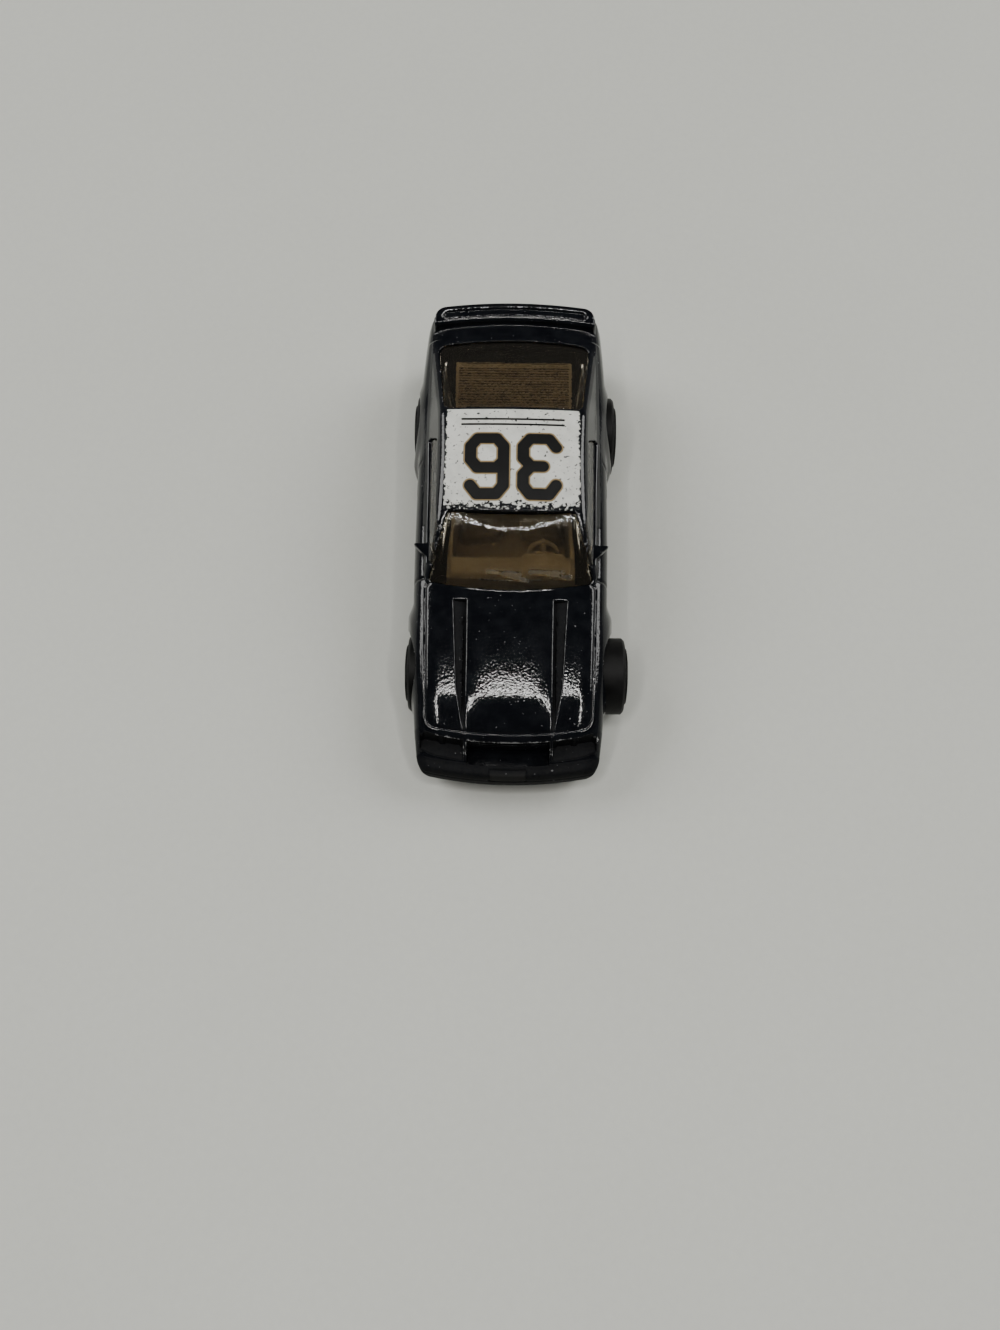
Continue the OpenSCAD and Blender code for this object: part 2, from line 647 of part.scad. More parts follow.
// One wiper on the foot of the windscreen: an arm and a blade as low ribs
wiper_w = 0.22;
wiper_h = 0.16;
module wiper(x) {
    foot = 2 * frame_w + foot_bow(front_bow, 2 * x) * screen_slant;
    for (bar = [[[x, foot], [x - 3.6, foot + 1.1]], [[x - 1.2, foot + 1], [x - 5.6, foot + 1.3]]])
        translate([0, cowl_y, cowl_z])
            rotate([atan(foot_rise), 0, 0])
                translate([0, 0, -2 * glass_set])
                    linear_extrude(glass_set + wiper_h)
                        pane(bar, wiper_w);
}

// Smoked window moulding: one hollow shell under the roof, raised into panes at the openings
skin_in = wall + glass_gap;
core_in = skin_in + glass_t;
insert_z = waist_z - 2 * glass_set;
// Where a cabin drawn in by inset comes down to a level at the windscreen and at the rear window
function cabin_start(inset, z) = cowl_y + (z + inset * screen_slant + 2 * roof_crown - cowl_z) / screen_rise;
function cabin_end(inset, z) = roof_end_y + (hatch_z - inset * screen_slant - 2 * roof_crown - z) / hatch_fall;
module window_insert() {
    color([0.16, 0.11, 0.08])
        difference() {
            union() {
                cabin(skin_in, insert_z, cabin_start(skin_in, insert_z), cabin_end(skin_in, insert_z));
                intersection() {
                    cabin(glass_set, insert_z, cowl_y, hatch_end_y);
                    window_cuts(glass_gap);
                }
                wiper(2.4);
                wiper(8.6);
            }
            cabin(core_in, insert_z - past, cabin_start(core_in, insert_z), cabin_end(core_in, insert_z));
        }
}

// Interior tray: a tub with seats and dashboard, and a ribbed load floor behind it
tray_z = floor_t + stop_gap;
tub_start = cowl_y + 3;
tub_end = roof_end_y - 2.5;
rim_z = insert_z - stop_gap;
load_end = hatch_end_y - 2.2;
seat_x = tub_w / 4;
seat_y = header_y + 5;
cushion_h = 2.4;
// A block with rounded upright edges
module block(x, y, z, w, l, h, r)
    translate([x, y, z])
        linear_extrude(h)
            pane([for (i = [-1, 1], j = [-1, 1]) [i * (w / 2 - r), j * (l / 2 - r)]], r);
module seat(x) {
    z = tray_z + tray_t / 2;
    block(x, seat_y, z, seat_w, seat_w, cushion_h, 0.8);
    translate([x, seat_y + seat_w / 2, z + cushion_h / 2])
        rotate([-12, 0, 0]) {
            block(0, 0, 0, seat_w, 1.8, seat_h * 0.68, 0.7);
            block(0, 0, 0, seat_w / 2, 1.4, seat_h, 0.6);
        }
}
module steering() {
    translate([seat_x, tub_start + 4, rim_z - steer_d / 3])
        rotate([62, 0, 0]) {
            rotate_extrude($fn = fine)
                translate([steer_d / 2, 0])
                    circle(0.3, $fn = 8);
            cube([steer_d, 0.6, 0.4], center = true);
            mirror([0, 0, 1])
                cylinder(r = 0.4, h = 3, $fn = fine);
        }
}
module interior_tray() {
    color([0.36, 0.24, 0.14])
        union() {
            difference() {
                translate([-tub_w / 2, tub_start, tray_z])
                    cube([tub_w, tub_end - tub_start, load_z - tray_z]);
                translate([-tub_w / 2 + tray_t, tub_start + tray_t, tray_z + tray_t])
                    cube([tub_w - 2 * tray_t, tub_end - tub_start - 2 * tray_t, load_z]);
            }
            block(0, tub_start + 1.7, load_z - 2.4, tub_w - tray_t, 3, rim_z - load_z + 1.8, 0.6);
            block(seat_x, tub_start + 2, load_z - 2, seat_w, 3, rim_z - load_z + 2, 0.8);
            for (side = [-1, 1])
                seat(side * seat_x);
            block(0, tub_end - 2.2, tray_z + tray_t / 2, tub_w - tray_t, 3.6, cushion_h * 1.6, 0.8);
            steering();
            translate([-load_w / 2, tub_end - tray_t, load_z - tray_t])
                cube([load_w, load_end - tub_end + tray_t, tray_t]);
            for (y = [tub_end + rib_pitch / 4:rib_pitch:load_end - rib_pitch])
                translate([-load_w / 2 + tray_t, y, load_z - tray_t / 2])
                    cube([load_w - 2 * tray_t, rib_pitch / 2, tray_t]);
            for (side = [-1, 1]) {
                translate([side * load_w / 3 - tray_t / 2, rear_y - bearing_l / 2, rear_z + axle_d / 2 + axle_clear])
                    cube([tray_t, bearing_l, load_z - rear_z - axle_d / 2 - axle_clear - tray_t / 2]);
                translate([side * load_w / 3 - tray_t / 2, load_end - tray_t, tray_z])
                    cube([tray_t, tray_t, load_z - tray_z - tray_t / 2]);
            }
        }
}

// A wire axle with a head at each end, standing to one side by its shift
module axle(track, shift, y, z) {
    half = track / 2 - ring_h - dish_d;
    color([0.72, 0.73, 0.75])
        translate([shift, y, z])
            rotate([0, 90, 0]) {
                cylinder(d = axle_d, h = 2 * half + 2 * stop_gap, center = true);
                for (side = [-1, 1])
                    translate([0, 0, side * (half + stop_gap + head_t / 2)])
                        cylinder(d = head_d, h = head_t, center = true);
            }
}
module front_axle() axle(front_track, front_shift, front_y, front_z);
module rear_axle() axle(rear_track, rear_shift, rear_y, rear_z);

// A one-piece wheel: tread, raised ring, dished face with spokes, and a hollow back around the hub
tread_r = 0.35;
web_t = 1.1;
rim_t = 1.2;
module wheel(d, w) {
    r = d / 2;
    ring_r = r - ring_in;
    face = w - ring_h;
    floor_x = w - ring_h - dish_d;
    back_x = floor_x - web_t;
    difference() {
        rotate_extrude()
            polygon([[axle_d / 2 + wheel_clear, 0], [hub_d / 2, 0], [hub_d / 2, back_x], [r - rim_t, back_x],
                [r - rim_t, 0], [r - tread_r, 0], [r, tread_r], [r, face - tread_r], [r - tread_r, face],
                [ring_r, face], [ring_r, w - ring_h / 4], [ring_r - ring_h / 4, w], [ring_r - ring_w, w],
                [ring_r - ring_w - ring_h / 2, floor_x], [axle_d / 2 + wheel_clear, floor_x]]);
        for (i = [0:spokes - 1])
            rotate(360 * i / spokes)
                translate([0, 0, back_x - past])
                    linear_extrude(web_t + 2 * past)
                        spoke_gap(hub_d / 2 + edge / 2, ring_r - ring_w - ring_h);
    }
}
// The gap between two spokes, bounded by the hub and the rim
module spoke_gap(inner, outer) {
    turn = 180 / spokes;
    function at(r, s) = let (a = s * (turn - asin(spoke_w / 2 / r))) r * [cos(a), sin(a)];
    polygon(concat([for (s = steps(-1, 1, 2)) at(inner, s)], [for (s = steps(1, -1, 6)) at(outer, s)]));
}
module wheel_at(side, track, shift, y, z, d, w)
    color([0.05, 0.05, 0.05])
        translate([shift + side * (track / 2 - w), y, z])
            rotate([0, side * 90, 0])
                wheel(d, w);
module front_wheel(side) wheel_at(side, front_track, front_shift, front_y, front_z, front_wheel_d, front_wheel_w);
module rear_wheel(side) wheel_at(side, rear_track, rear_shift, rear_y, rear_z, rear_wheel_d, rear_wheel_w);
module front_left_wheel() front_wheel(1);
module front_right_wheel() front_wheel(-1);
module rear_left_wheel() rear_wheel(1);
module rear_right_wheel() rear_wheel(-1);

body_shell();
base_plate();
window_insert();
interior_tray();
front_axle();
rear_axle();
front_left_wheel();
front_right_wheel();
rear_left_wheel();
rear_right_wheel();
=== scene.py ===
"""Looks of the toy police car: a worn gloss black die-cast coupe on a pale floor.

Shapes are described in millimetres by distance functions, negative inside, in the CAD frame:
+Z up, the nose along -Y, z = 0 at the underside of the base plate. Each function becomes a closed mesh
in metres.
"""

import math

import bpy
import numpy as np
from mathutils import Matrix, Vector


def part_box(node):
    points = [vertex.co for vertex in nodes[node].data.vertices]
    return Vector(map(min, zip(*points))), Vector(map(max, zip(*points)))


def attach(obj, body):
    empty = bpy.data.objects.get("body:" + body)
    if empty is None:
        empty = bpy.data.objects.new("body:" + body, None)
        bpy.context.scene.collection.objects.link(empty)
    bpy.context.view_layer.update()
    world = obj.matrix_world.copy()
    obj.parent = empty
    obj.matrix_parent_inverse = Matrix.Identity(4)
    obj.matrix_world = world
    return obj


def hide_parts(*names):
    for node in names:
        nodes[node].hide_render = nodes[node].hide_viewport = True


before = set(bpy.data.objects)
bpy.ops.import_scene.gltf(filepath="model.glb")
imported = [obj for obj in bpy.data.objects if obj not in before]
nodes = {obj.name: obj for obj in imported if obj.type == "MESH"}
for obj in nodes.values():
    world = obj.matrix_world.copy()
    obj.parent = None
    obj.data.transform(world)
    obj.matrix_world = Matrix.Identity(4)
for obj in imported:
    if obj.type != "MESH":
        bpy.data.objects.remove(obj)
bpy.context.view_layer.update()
MM = 0.001

# Mesh steps in millimetres
GRID = 0.17
GLASS_GRID, INSIDE_GRID = 1.5 * GRID, 0.2

# Places along the car
NOSE, BUMPER, HOOD, COWL = -37.0, -35.3, -32.1, -10.9
HEADER, ROOF_END, HATCH_END, TAIL = -0.9, 15.7, 31.1, 37.0
FRONT_AXLE, REAR_AXLE = -20.7, 19.1
FRONT_AXLE_Z, REAR_AXLE_Z = 3.65, 4.1

# Heights
LIP_Z, SILL_Z, BUMPER_Z, HOOD_Z, COWL_Z = 1.5, 0.4, 5.4, 8.9, 12.1
HEADER_Z, ROOF_Z, HATCH_Z, DECK_Z = 17.5, 17.93, 17.6, 13.3
WAIST_Z, SIDE_Z = 12.0, 6.5
FLOOR_Z, SEAT_Z = -2.0, 1.45

# Half widths, and how the sections curve
NOSE_X, FENDER_X, DOOR_X, TAIL_X = 13.2, 14.1, 14.4, 13.5
WAIST_X, WAIST_REAR_X, ROOF_X = 12.6, 13.0, 10.3
SHOULDER, DROP, TUCK, CROWN = 1.2, 0.65, 0.7, 0.35
HOOD_ARCH, ARCH_PLACE = 1.0, 0.28
FRONT_BOW, REAR_BOW, CORNER, EDGE = 1.8, 1.4, 0.8, 0.4
TAIL_R = 1.8

# Casting
WALL, FLARE_H, FLARE_W = 1.2, 0.85, 3.0
FRONT_ARCH_R, REAR_ARCH_R, WELL_X = 6.1, 6.55, 9.9
POST_Y = (-28.9, 33.1)
POST_R, RIVET_R, RIVET_Z, RIVET_T = 1.6, 2.4, 0.45, 0.3
FRAME_W, PANE_R, HATCH_R = 0.7, 0.5, 1.3
GLASS_SET, GLASS_GAP, GLASS_T = 0.3, 0.12, 0.9
SCREEN_SUNK, SUNK_X = 0.6, 8.4
SPOILER_L, SPOILER_X, SPOILER_H = 3.4, 12.5, 1.0
DOME_X, DOME_FALL = 6.25, 0.25

# Smooth curves along the car, sampled once
ALONG = np.linspace(-39, 39, 7801)


def curve(points):
    """The CAD's smooth curve through (y, value) points, sampled along the car."""
    y, v = np.array(points, float).T
    step = np.diff(y)
    chord = np.diff(v) / step
    before, after = chord[:-1], chord[1:]
    same = before * after > 0
    inner = np.where(same, 2 * before * after / np.where(same, before + after, 1), 0)
    tangent = np.concatenate([chord[:1], inner, chord[-1:]])
    i = np.clip(np.searchsorted(y, ALONG, side="right") - 1, 0, len(step) - 1)
    s = np.clip((ALONG - y[i]) / step[i], 0, 1)
    ma, mb = tangent[i] * step[i], tangent[i + 1] * step[i]
    rise = v[i + 1] - v[i]
    return v[i] + s * (ma + s * (3 * rise - 2 * ma - mb + s * (ma + mb - 2 * rise)))


def at(samples, y):
    """Value of a sampled curve at y."""
    return np.interp(y, ALONG, samples).astype(np.float32)


def softened(samples, width):
    """The curve with its corners rounded over a width along the car."""
    half = int(width / (ALONG[1] - ALONG[0]))
    kernel = np.hanning(2 * half + 3)
    padded = np.pad(samples, half + 1, mode="edge")
    return np.convolve(padded, kernel / kernel.sum(), mode="valid")


arch_y = HOOD + ARCH_PLACE * (COWL - HOOD)
arch_z = HOOD_Z + ARCH_PLACE * (COWL_Z - HOOD_Z) + HOOD_ARCH
TOP = softened(curve([
    (NOSE, BUMPER_Z - 3 * EDGE), (NOSE + EDGE, BUMPER_Z - EDGE), (BUMPER, BUMPER_Z),
    (HOOD - EDGE, HOOD_Z - EDGE), (HOOD + EDGE, HOOD_Z + EDGE / 2), (arch_y, arch_z), (COWL, COWL_Z),
    (HATCH_END, DECK_Z), (TAIL - EDGE, DECK_Z - EDGE), (TAIL, DECK_Z - 3 * EDGE)]), 0.5)
SIDE = curve([
    (NOSE, NOSE_X - CORNER), (BUMPER, NOSE_X), (FRONT_AXLE, FENDER_X), (HEADER, DOOR_X),
    (REAR_AXLE, DOOR_X), (TAIL - CORNER, TAIL_X), (TAIL, TAIL_X - CORNER)])
FALL = curve([(NOSE, DROP / 3), (arch_y, DROP), (TAIL, DROP)])
LOW = curve([
    (NOSE, LIP_Z), (HOOD, LIP_Z), (HOOD + EDGE, SILL_Z), (HATCH_END, SILL_Z), (HATCH_END + EDGE, LIP_Z),
    (TAIL, LIP_Z)])
BOW = curve([
    (NOSE, FRONT_BOW), (COWL, FRONT_BOW), (HEADER, FRONT_BOW / 4), (ROOF_END, -REAR_BOW / 4),
    (HATCH_END, -REAR_BOW), (TAIL, -REAR_BOW)])
WAIST = curve([(COWL, WAIST_X), (ROOF_END, WAIST_REAR_X)])

# The cabin from the windscreen over the roof to the rear window; the windscreen bends over toward its top
SCREEN_RISE = (HEADER_Z - COWL_Z) / (HEADER - COWL)
HATCH_FALL = (HATCH_Z - DECK_Z) / (HATCH_END - ROOF_END)
FOOT_RISE = 0.62
SCREEN_BEND = [(-7.5, 14.2), (-4.6, 15.85), (-2.6, 16.65), (HEADER, 17.05), (1.5, 17.4)]
roof_curve = curve([(COWL, COWL_Z), *SCREEN_BEND, ((HEADER + ROOF_END) / 2, ROOF_Z), (ROOF_END, HATCH_Z)])
screen_curve = COWL_Z + (ALONG - COWL) * FOOT_RISE
hatch_curve = HATCH_Z - (ALONG - ROOF_END) * HATCH_FALL
behind_screen = np.where(ALONG > ROOF_END, hatch_curve, roof_curve)
ROOF = softened(np.where(ALONG < COWL, screen_curve, behind_screen), 1.0)
ROOF_SLANT = np.hypot(1, np.gradient(ROOF, ALONG))
LEAN = (WAIST_X - ROOF_X) / (HEADER_Z - WAIST_Z)
LEAN_SLANT = math.hypot(1, LEAN)


# Ways to join distances
def soft_max(a, b, r):
    """Both at once, with the edge between them rounded over r."""
    d = np.maximum(r - np.abs(a - b), 0)
    return np.maximum(a, b) + d * d / (4 * r)


def soft_min(a, b, r):
    """Either one, with the inner corner between them filled over r."""
    return -soft_max(-a, -b, r)


def ramp(v, start, end):
    """Smooth step from 0 at start to 1 at end."""
    t = np.clip((v - start) / (end - start), 0, 1)
    return t * t * (3 - 2 * t)


def outline(u, v, corners, r=0.0):
    """Distance from a polygon grown by r, so that its corners are round."""
    shape = np.broadcast(u, v).shape
    d = np.full(shape, 1e6, np.float32)
    sign = np.ones(shape, np.float32)
    for (ax, ay), (bx, by) in zip(corners, corners[1:] + corners[:1]):
        ex, ey = bx - ax, by - ay
        pu, pv = u - ax, v - ay
        t = np.clip((pu * ex + pv * ey) / (ex * ex + ey * ey), 0, 1)
        d = np.minimum(d, np.hypot(pu - ex * t, pv - ey * t))
        above, below = v >= ay, v < by
        left = ex * pv > ey * pu
        sign = np.where((above & below & left) | ~(above | below | left), -sign, sign)
    return d * sign - r


def block(x, y, z, centre, size, r):
    """Distance from a box with rounded edges."""
    d = [np.abs(p - c) - s / 2 + r for p, c, s in zip((x, y, z), centre, size)]
    out = np.sqrt(sum(np.maximum(e, 0) ** 2 for e in d))
    return out + np.minimum(np.maximum(np.maximum(d[0], d[1]), d[2]), 0) - r


def groove(d, width, depth):
    """How far a line pressed into the casting lowers the skin at distance d from it."""
    return depth * np.exp(-((d / width) ** 2))


# Body casting
def station(x, y):
    """Place along the car of the section that a point lies on, without the bow in plan."""
    q = (x / DOOR_X) ** 2
    s = y
    for _ in range(3):
        s = y - at(BOW, s) * q
    return s


def flare(s, z):
    """How far the side swells out around the wheel arches."""
    reach = 0
    for y0, z0, r in ((FRONT_AXLE, FRONT_AXLE_Z, FRONT_ARCH_R), (REAR_AXLE, REAR_AXLE_Z, REAR_ARCH_R)):
        t = np.clip((np.hypot(s - y0, z - z0) - r) / FLARE_W, 0, 1)
        reach = np.maximum(reach, FLARE_H * (1 - t * t) ** 2)
    return reach


def lower_body(x, s, z):
    """The lower body without its lower edge, and the height of its skin."""
    top = at(TOP, s)
    edge_z = top - at(FALL, s)
    low = at(LOW, s)
    widest = at(SIDE, s)
    mid = np.minimum(SIDE_Z, (low + edge_z) / 2)
    under = np.clip((mid - z) / (mid - low), 0, 1)
    over = np.clip((z - mid) / (edge_z - mid), 0, 1)
    side = widest - TUCK * under**2 - SHOULDER * over**4 + flare(s, z) * (1 - over)
    across = x / (widest - SHOULDER)
    crown = top - (top - edge_z) * (0.35 * across**2 + 0.65 * ramp(across, 0.78, 1.06))
    on_hood = ramp(s, HOOD + 0.8, HOOD + 5) * (1 - ramp(s, COWL - 10, COWL - 1.6))
    crown = crown - DOME_FALL * on_hood * np.where(x < DOME_X + EDGE, np.minimum(x / DOME_X, 1) ** 4, 0)
    f = soft_max(x - side, z - crown, 0.8)
    return soft_max(soft_max(f, NOSE - s, 0.5), tail_end(x, s, TAIL_X), 0.5), crown


def tail_end(x, s, reach):
    """The rear end with corners rounded in plan."""
    behind = s - TAIL + TAIL_R
    return np.where(behind > 0, np.hypot(np.maximum(x - reach + TAIL_R, 0), behind), behind) - TAIL_R


def cabin(x, s, z):
    """The cabin above the waist, and the height of its roof."""
    roof = at(ROOF, s)
    waist = at(WAIST, s)
    edge_x = np.maximum(waist - (roof - CROWN - WAIST_Z) * LEAN, ROOF_X / 2)
    crown = roof - CROWN * (x / edge_x) ** 2
    side = (x - waist + np.maximum(z - WAIST_Z, 0) * LEAN) / LEAN_SLANT
    top = (z - crown) / at(ROOF_SLANT, s)
    return soft_max(side, top, 0.9), crown


HATCH_FOOT_X, HATCH_HEAD_X = 10.2, 9.1
SCREEN_FOOT_X, SCREEN_HEAD_X, PANE_DEEP = 11.4, 8.8, 2.4


def windows(x, y, s, z, crown, gap=0.0):
    """The window openings: two seen from above, one seen from each side."""
    foot = HATCH_END - FRAME_W - HATCH_R
    head = ROOF_END + FRAME_W + HATCH_R
    hatch = outline(x, s, [
        (-HATCH_FOOT_X, foot), (-HATCH_HEAD_X, head), (HATCH_HEAD_X, head), (HATCH_FOOT_X, foot)],
        HATCH_R - gap)
    foot = COWL + FRAME_W / 3 + PANE_R
    head = HEADER + FRAME_W / 2 - PANE_R
    screen = outline(x, s, [
        (-SCREEN_FOOT_X, foot), (SCREEN_FOOT_X, foot), (SCREEN_HEAD_X, head), (-SCREEN_HEAD_X, head)],
        PANE_R - gap)
    deep = crown - PANE_DEEP - z
    low, high = WAIST_Z + FRAME_W + PANE_R, HEADER_Z - 2 * CROWN - FRAME_W - PANE_R
    pillar = COWL + 3 * FRAME_W
    side = outline(y, z, [
        (pillar + (low - COWL_Z) / SCREEN_RISE, low), (ROOF_END - 3, low), (ROOF_END - 4.4, high),
        (pillar + (high - COWL_Z) / SCREEN_RISE, high)], PANE_R - gap)
    inward = ROOF_X - 3.5 - np.abs(x)
    return np.minimum(np.maximum(np.minimum(hatch, screen), deep), np.maximum(side, inward))


SPOILER_Y = TAIL - SPOILER_L
DISH_X, DISH_R = 10.4, 0.75


def spoiler(x, s, z):
    """A raised bar across the tail with a long dish in its top, a thin rim around the dish."""
    along = np.maximum(np.abs(x) - DISH_X, 0)
    dish = np.hypot(along, s - TAIL + 0.48 * SPOILER_L) - DISH_R
    top = DECK_Z + SPOILER_H - 0.1 + 0.1 * np.exp(-((dish / 0.16) ** 2)) - 0.22 * ramp(-dish, 0.05, 0.4)
    f = soft_max(z - top, SPOILER_Y - s + 0.35 * (z - DECK_Z), 0.5)
    f = soft_max(f, x - SPOILER_X, 0.5)
    f = soft_max(f, tail_end(x, s, SPOILER_X), 0.5)
    return np.maximum(f, DECK_Z - 2.5 - z)


MIRROR_TIP, MIRROR_Z, MIRROR_BACK = 14.8, 12.3, -3.7


def mirrors(x, y, z):
    """Small darts: a flat back, and a front face that runs in to the pillar."""
    slant = (x - 12.0) * 0.75 + (MIRROR_BACK - 2.6 - y) * 0.68
    f = soft_max(slant, y - MIRROR_BACK, 0.35)
    f = soft_max(f, x - MIRROR_TIP, 0.5)
    f = soft_max(f, np.abs(z - MIRROR_Z) - 0.62, 0.25)
    return np.maximum(f, 11.0 - x)


RECESS_D, RECESS_W = 0.85, 1.9


def hood_recess(x, y, z, hood_top):
    """The tapered recess beside the dome of the hood; its floor falls toward the dome."""
    across = (x - DOME_X) / RECESS_W
    depth = RECESS_D * (1 - 0.75 * across) * ramp(y, HOOD + 0.8, HOOD + 6.0)
    rear = COWL - 1.4
    plan = outline(x, y, [
        (DOME_X, HOOD + 0.7), (DOME_X + 1.2, HOOD + 7.0), (DOME_X + RECESS_W, rear), (DOME_X + 0.1, rear)])
    return np.maximum(plan, hood_top - depth - z)


HOOD_FRONT_X, HOOD_REAR_X, HOOD_R = 10.4, 10.9, 1.4


def hood_edge(x, s):
    """Outline of the hood panel."""
    front, rear = HOOD + 2.0, COWL - 1.0
    return outline(x, s, [
        (-HOOD_FRONT_X, front), (HOOD_FRONT_X, front), (HOOD_REAR_X, rear), (-HOOD_REAR_X, rear)], HOOD_R)


LAMP_IN, LAMP_OUT, LAMP_TOP = 6.4, 12.5, 8.3
LAMP_BACK, GRILLE_BACK = -32.7, -32.2
SHELF_Z, GRILLE_Z = 5.75, 3.6
BAR_PITCH, BAR_D = 0.95, 0.22


def nose_recesses(x, s, z):
    """Deep pockets under the hood's lip: lamps with a shelf before them, and a grille of level bars."""
    bezel = 0.25 * ramp(np.abs(np.abs(x - (LAMP_IN + LAMP_OUT) / 2) - 1.5), 1.0, 1.25)
    lamp = np.maximum(np.maximum(LAMP_IN - x, x - LAMP_OUT), s - LAMP_BACK + bezel - 0.15 * (z - SHELF_Z))
    lamp = np.maximum(lamp, np.maximum(SHELF_Z + 0.08 * (s - BUMPER) - z, z - LAMP_TOP))
    bars = BAR_D * np.cos((z - GRILLE_Z) * 2 * math.pi / BAR_PITCH)
    grille = np.maximum(x - LAMP_IN + 0.5, np.maximum(s - GRILLE_BACK + bars, BUMPER + 0.1 - s))
    return lamp, np.maximum(grille, np.maximum(GRILLE_Z - z, z - LAMP_TOP))


TAIL_LAMP = [(4.2, 7.8), (11.2, 7.8), (11.2, 9.8), (4.2, 9.8)]
TAIL_PLATE = [(-3.2, 5.0), (3.2, 5.0), (3.2, 7.0), (-3.2, 7.0)]
TAIL_LAMP_Z, TAIL_RIB_PITCH = 8.8, 0.9
TAIL_LAMP_D, TAIL_PLATE_D = 0.55, 0.4


def tail_recesses(x, s, z):
    """Ribbed lamps and a bare plate, sunk into the tail."""
    lamp = outline(x, z, TAIL_LAMP, 0.4)
    ribs = 0.1 * np.cos((z - TAIL_LAMP_Z) * 2 * math.pi / TAIL_RIB_PITCH)
    lamp = np.maximum(lamp, TAIL - TAIL_LAMP_D + ribs - s)
    plate = outline(x, z, TAIL_PLATE, 0.4)
    return np.minimum(lamp, np.maximum(plate, TAIL - TAIL_PLATE_D - s))


DOOR_FRONT, DOOR_REAR = -8.8, 9.6
LINE_W, BUMPER_LINE_W, LINE_D = 0.22, 0.25, 0.16
CREASE_Z, CREASE_W = 6.1, 0.3
HANDLE, HANDLE_D = [(5.6, 9.2), (7.6, 9.2), (7.6, 9.8), (5.6, 9.8)], 0.22
MARKER = [(-32.0, 4.6), (-29.6, 4.6), (-29.6, 5.5), (-32.0, 5.5)]
PLATE = [(-2.5, 3.5), (2.5, 3.5), (2.5, 5.0), (-2.5, 5.0)]


def pressed_lines(x, y, s, z, f_hood):
    """Shut lines, the side crease, handles and bumper lines, as one depth below the skin."""
    on_side = ramp(x, 11.5, 12.5)
    door_high = ramp(z, 2.2, 2.5) * (1 - ramp(z, 11.4, 12.0))
    door_end = y - DOOR_REAR - 0.12 * (z - SIDE_Z)
    doors = groove(y - DOOR_FRONT, LINE_W, LINE_D) + groove(door_end, LINE_W, LINE_D)
    door_long = ramp(y, DOOR_FRONT, DOOR_FRONT + 0.3) * (1 - ramp(y, DOOR_REAR - 0.8, DOOR_REAR - 0.5))
    door_low = groove(z - 2.3, 0.2, 0.14) * door_long
    crease = groove(z - CREASE_Z, CREASE_W, LINE_D) * ramp(y, -13.2, -12.4) * (1 - ramp(y, 10.2, 11.0))
    crease = crease + groove(z - CREASE_Z, CREASE_W, LINE_D) * ramp(y, 27.0, 27.8)
    handle = HANDLE_D * (1 - ramp(outline(y, z, HANDLE), -0.12, 0.12))
    marker = LINE_D * (1 - ramp(outline(y, z, MARKER), -0.12, 0.12))
    lines = on_side * (doors * door_high + door_low + crease + handle + marker)
    on_top = ramp(z, 8.2, 8.8) * (1 - ramp(y, COWL + 1.0, COWL + 1.6))
    lines = lines + on_top * groove(f_hood, 0.18, LINE_D)
    bumpers = groove(z - 3.5, BUMPER_LINE_W, LINE_D) * (ramp(-s, 33.5, 34.2) + ramp(s, 34.0, 34.8))
    plate = groove(number_plate(x, z), 0.14, 0.14) * ramp(-s, 35.5, 35.7)
    return lines + bumpers + plate + groove(z - 5.6, BUMPER_LINE_W, LINE_D) * ramp(s, 33.4, 34.2)


def number_plate(x, z):
    """Outline of a bare plate on the front bumper."""
    return outline(x, z, PLATE, 0.1)


def casting(x, y, z):
    """The whole body casting."""
    side = x
    x = np.abs(x)
    s = station(x, y)
    low_f, hood_top = lower_body(x, s, z)
    cab_f, roof_top = cabin(x, s, z)
    cab_cut = np.maximum(WAIST_Z - 1.5 - z, np.maximum(COWL - 0.4 - s, s - HATCH_END - 0.4))
    cab_cut = np.maximum(cab_f, cab_cut)
    solid = soft_min(low_f, cab_cut, np.where(s < HEADER, 0.06, 0.5))
    skin = solid + pressed_lines(x, y, s, z, hood_edge(x, s))
    skin = soft_max(skin, -hood_recess(x, y, z, hood_top), 0.3)
    lamp, grille = nose_recesses(x, s, z)
    skin = soft_max(skin, -lamp, 0.15)
    skin = soft_max(skin, -grille, 0.15)
    skin = soft_max(skin, -tail_recesses(x, s, z), 0.2)
    skin = soft_min(skin, spoiler(x, s, z), np.where(s > TAIL - 1, 0.05, 0.3))
    skin = soft_min(skin, mirrors(x, y, z), 0.2)
    skin = soft_max(skin, -windows(side, y, s, z, roof_top), 0.16)
    cab_room = np.maximum(cab_f, np.maximum(COWL + WALL - s, s + WALL - HATCH_END))
    hollow = np.maximum(np.minimum(low_f, cab_room) + WALL, HOOD + WALL - s)
    skin = np.maximum(skin, -hollow)
    skin = soft_max(skin, at(LOW, s) - z, 0.2)
    seat = np.maximum(x - at(SIDE, s) + TUCK + WALL, np.maximum(HOOD - EDGE - s, z - SEAT_Z))
    skin = np.maximum(skin, -seat)
    for y0, z0, r in ((FRONT_AXLE, FRONT_AXLE_Z, FRONT_ARCH_R), (REAR_AXLE, REAR_AXLE_Z, REAR_ARCH_R)):
        well = np.maximum(np.hypot(y - y0, z - z0) - r, WELL_X - x)
        skin = soft_max(skin, -well, 0.3)
    for y0, high in zip(POST_Y, (HOOD_Z + EDGE, DECK_Z - WALL)):
        reach = np.hypot(x, y - y0)
        post = np.maximum(reach - POST_R, z - high)
        rivet = soft_max(reach - RIVET_R, np.abs(z - RIVET_Z) - RIVET_T, 0.25)
        skin = np.minimum(skin, np.minimum(np.maximum(post, 0.15 - z), rivet))
    return skin


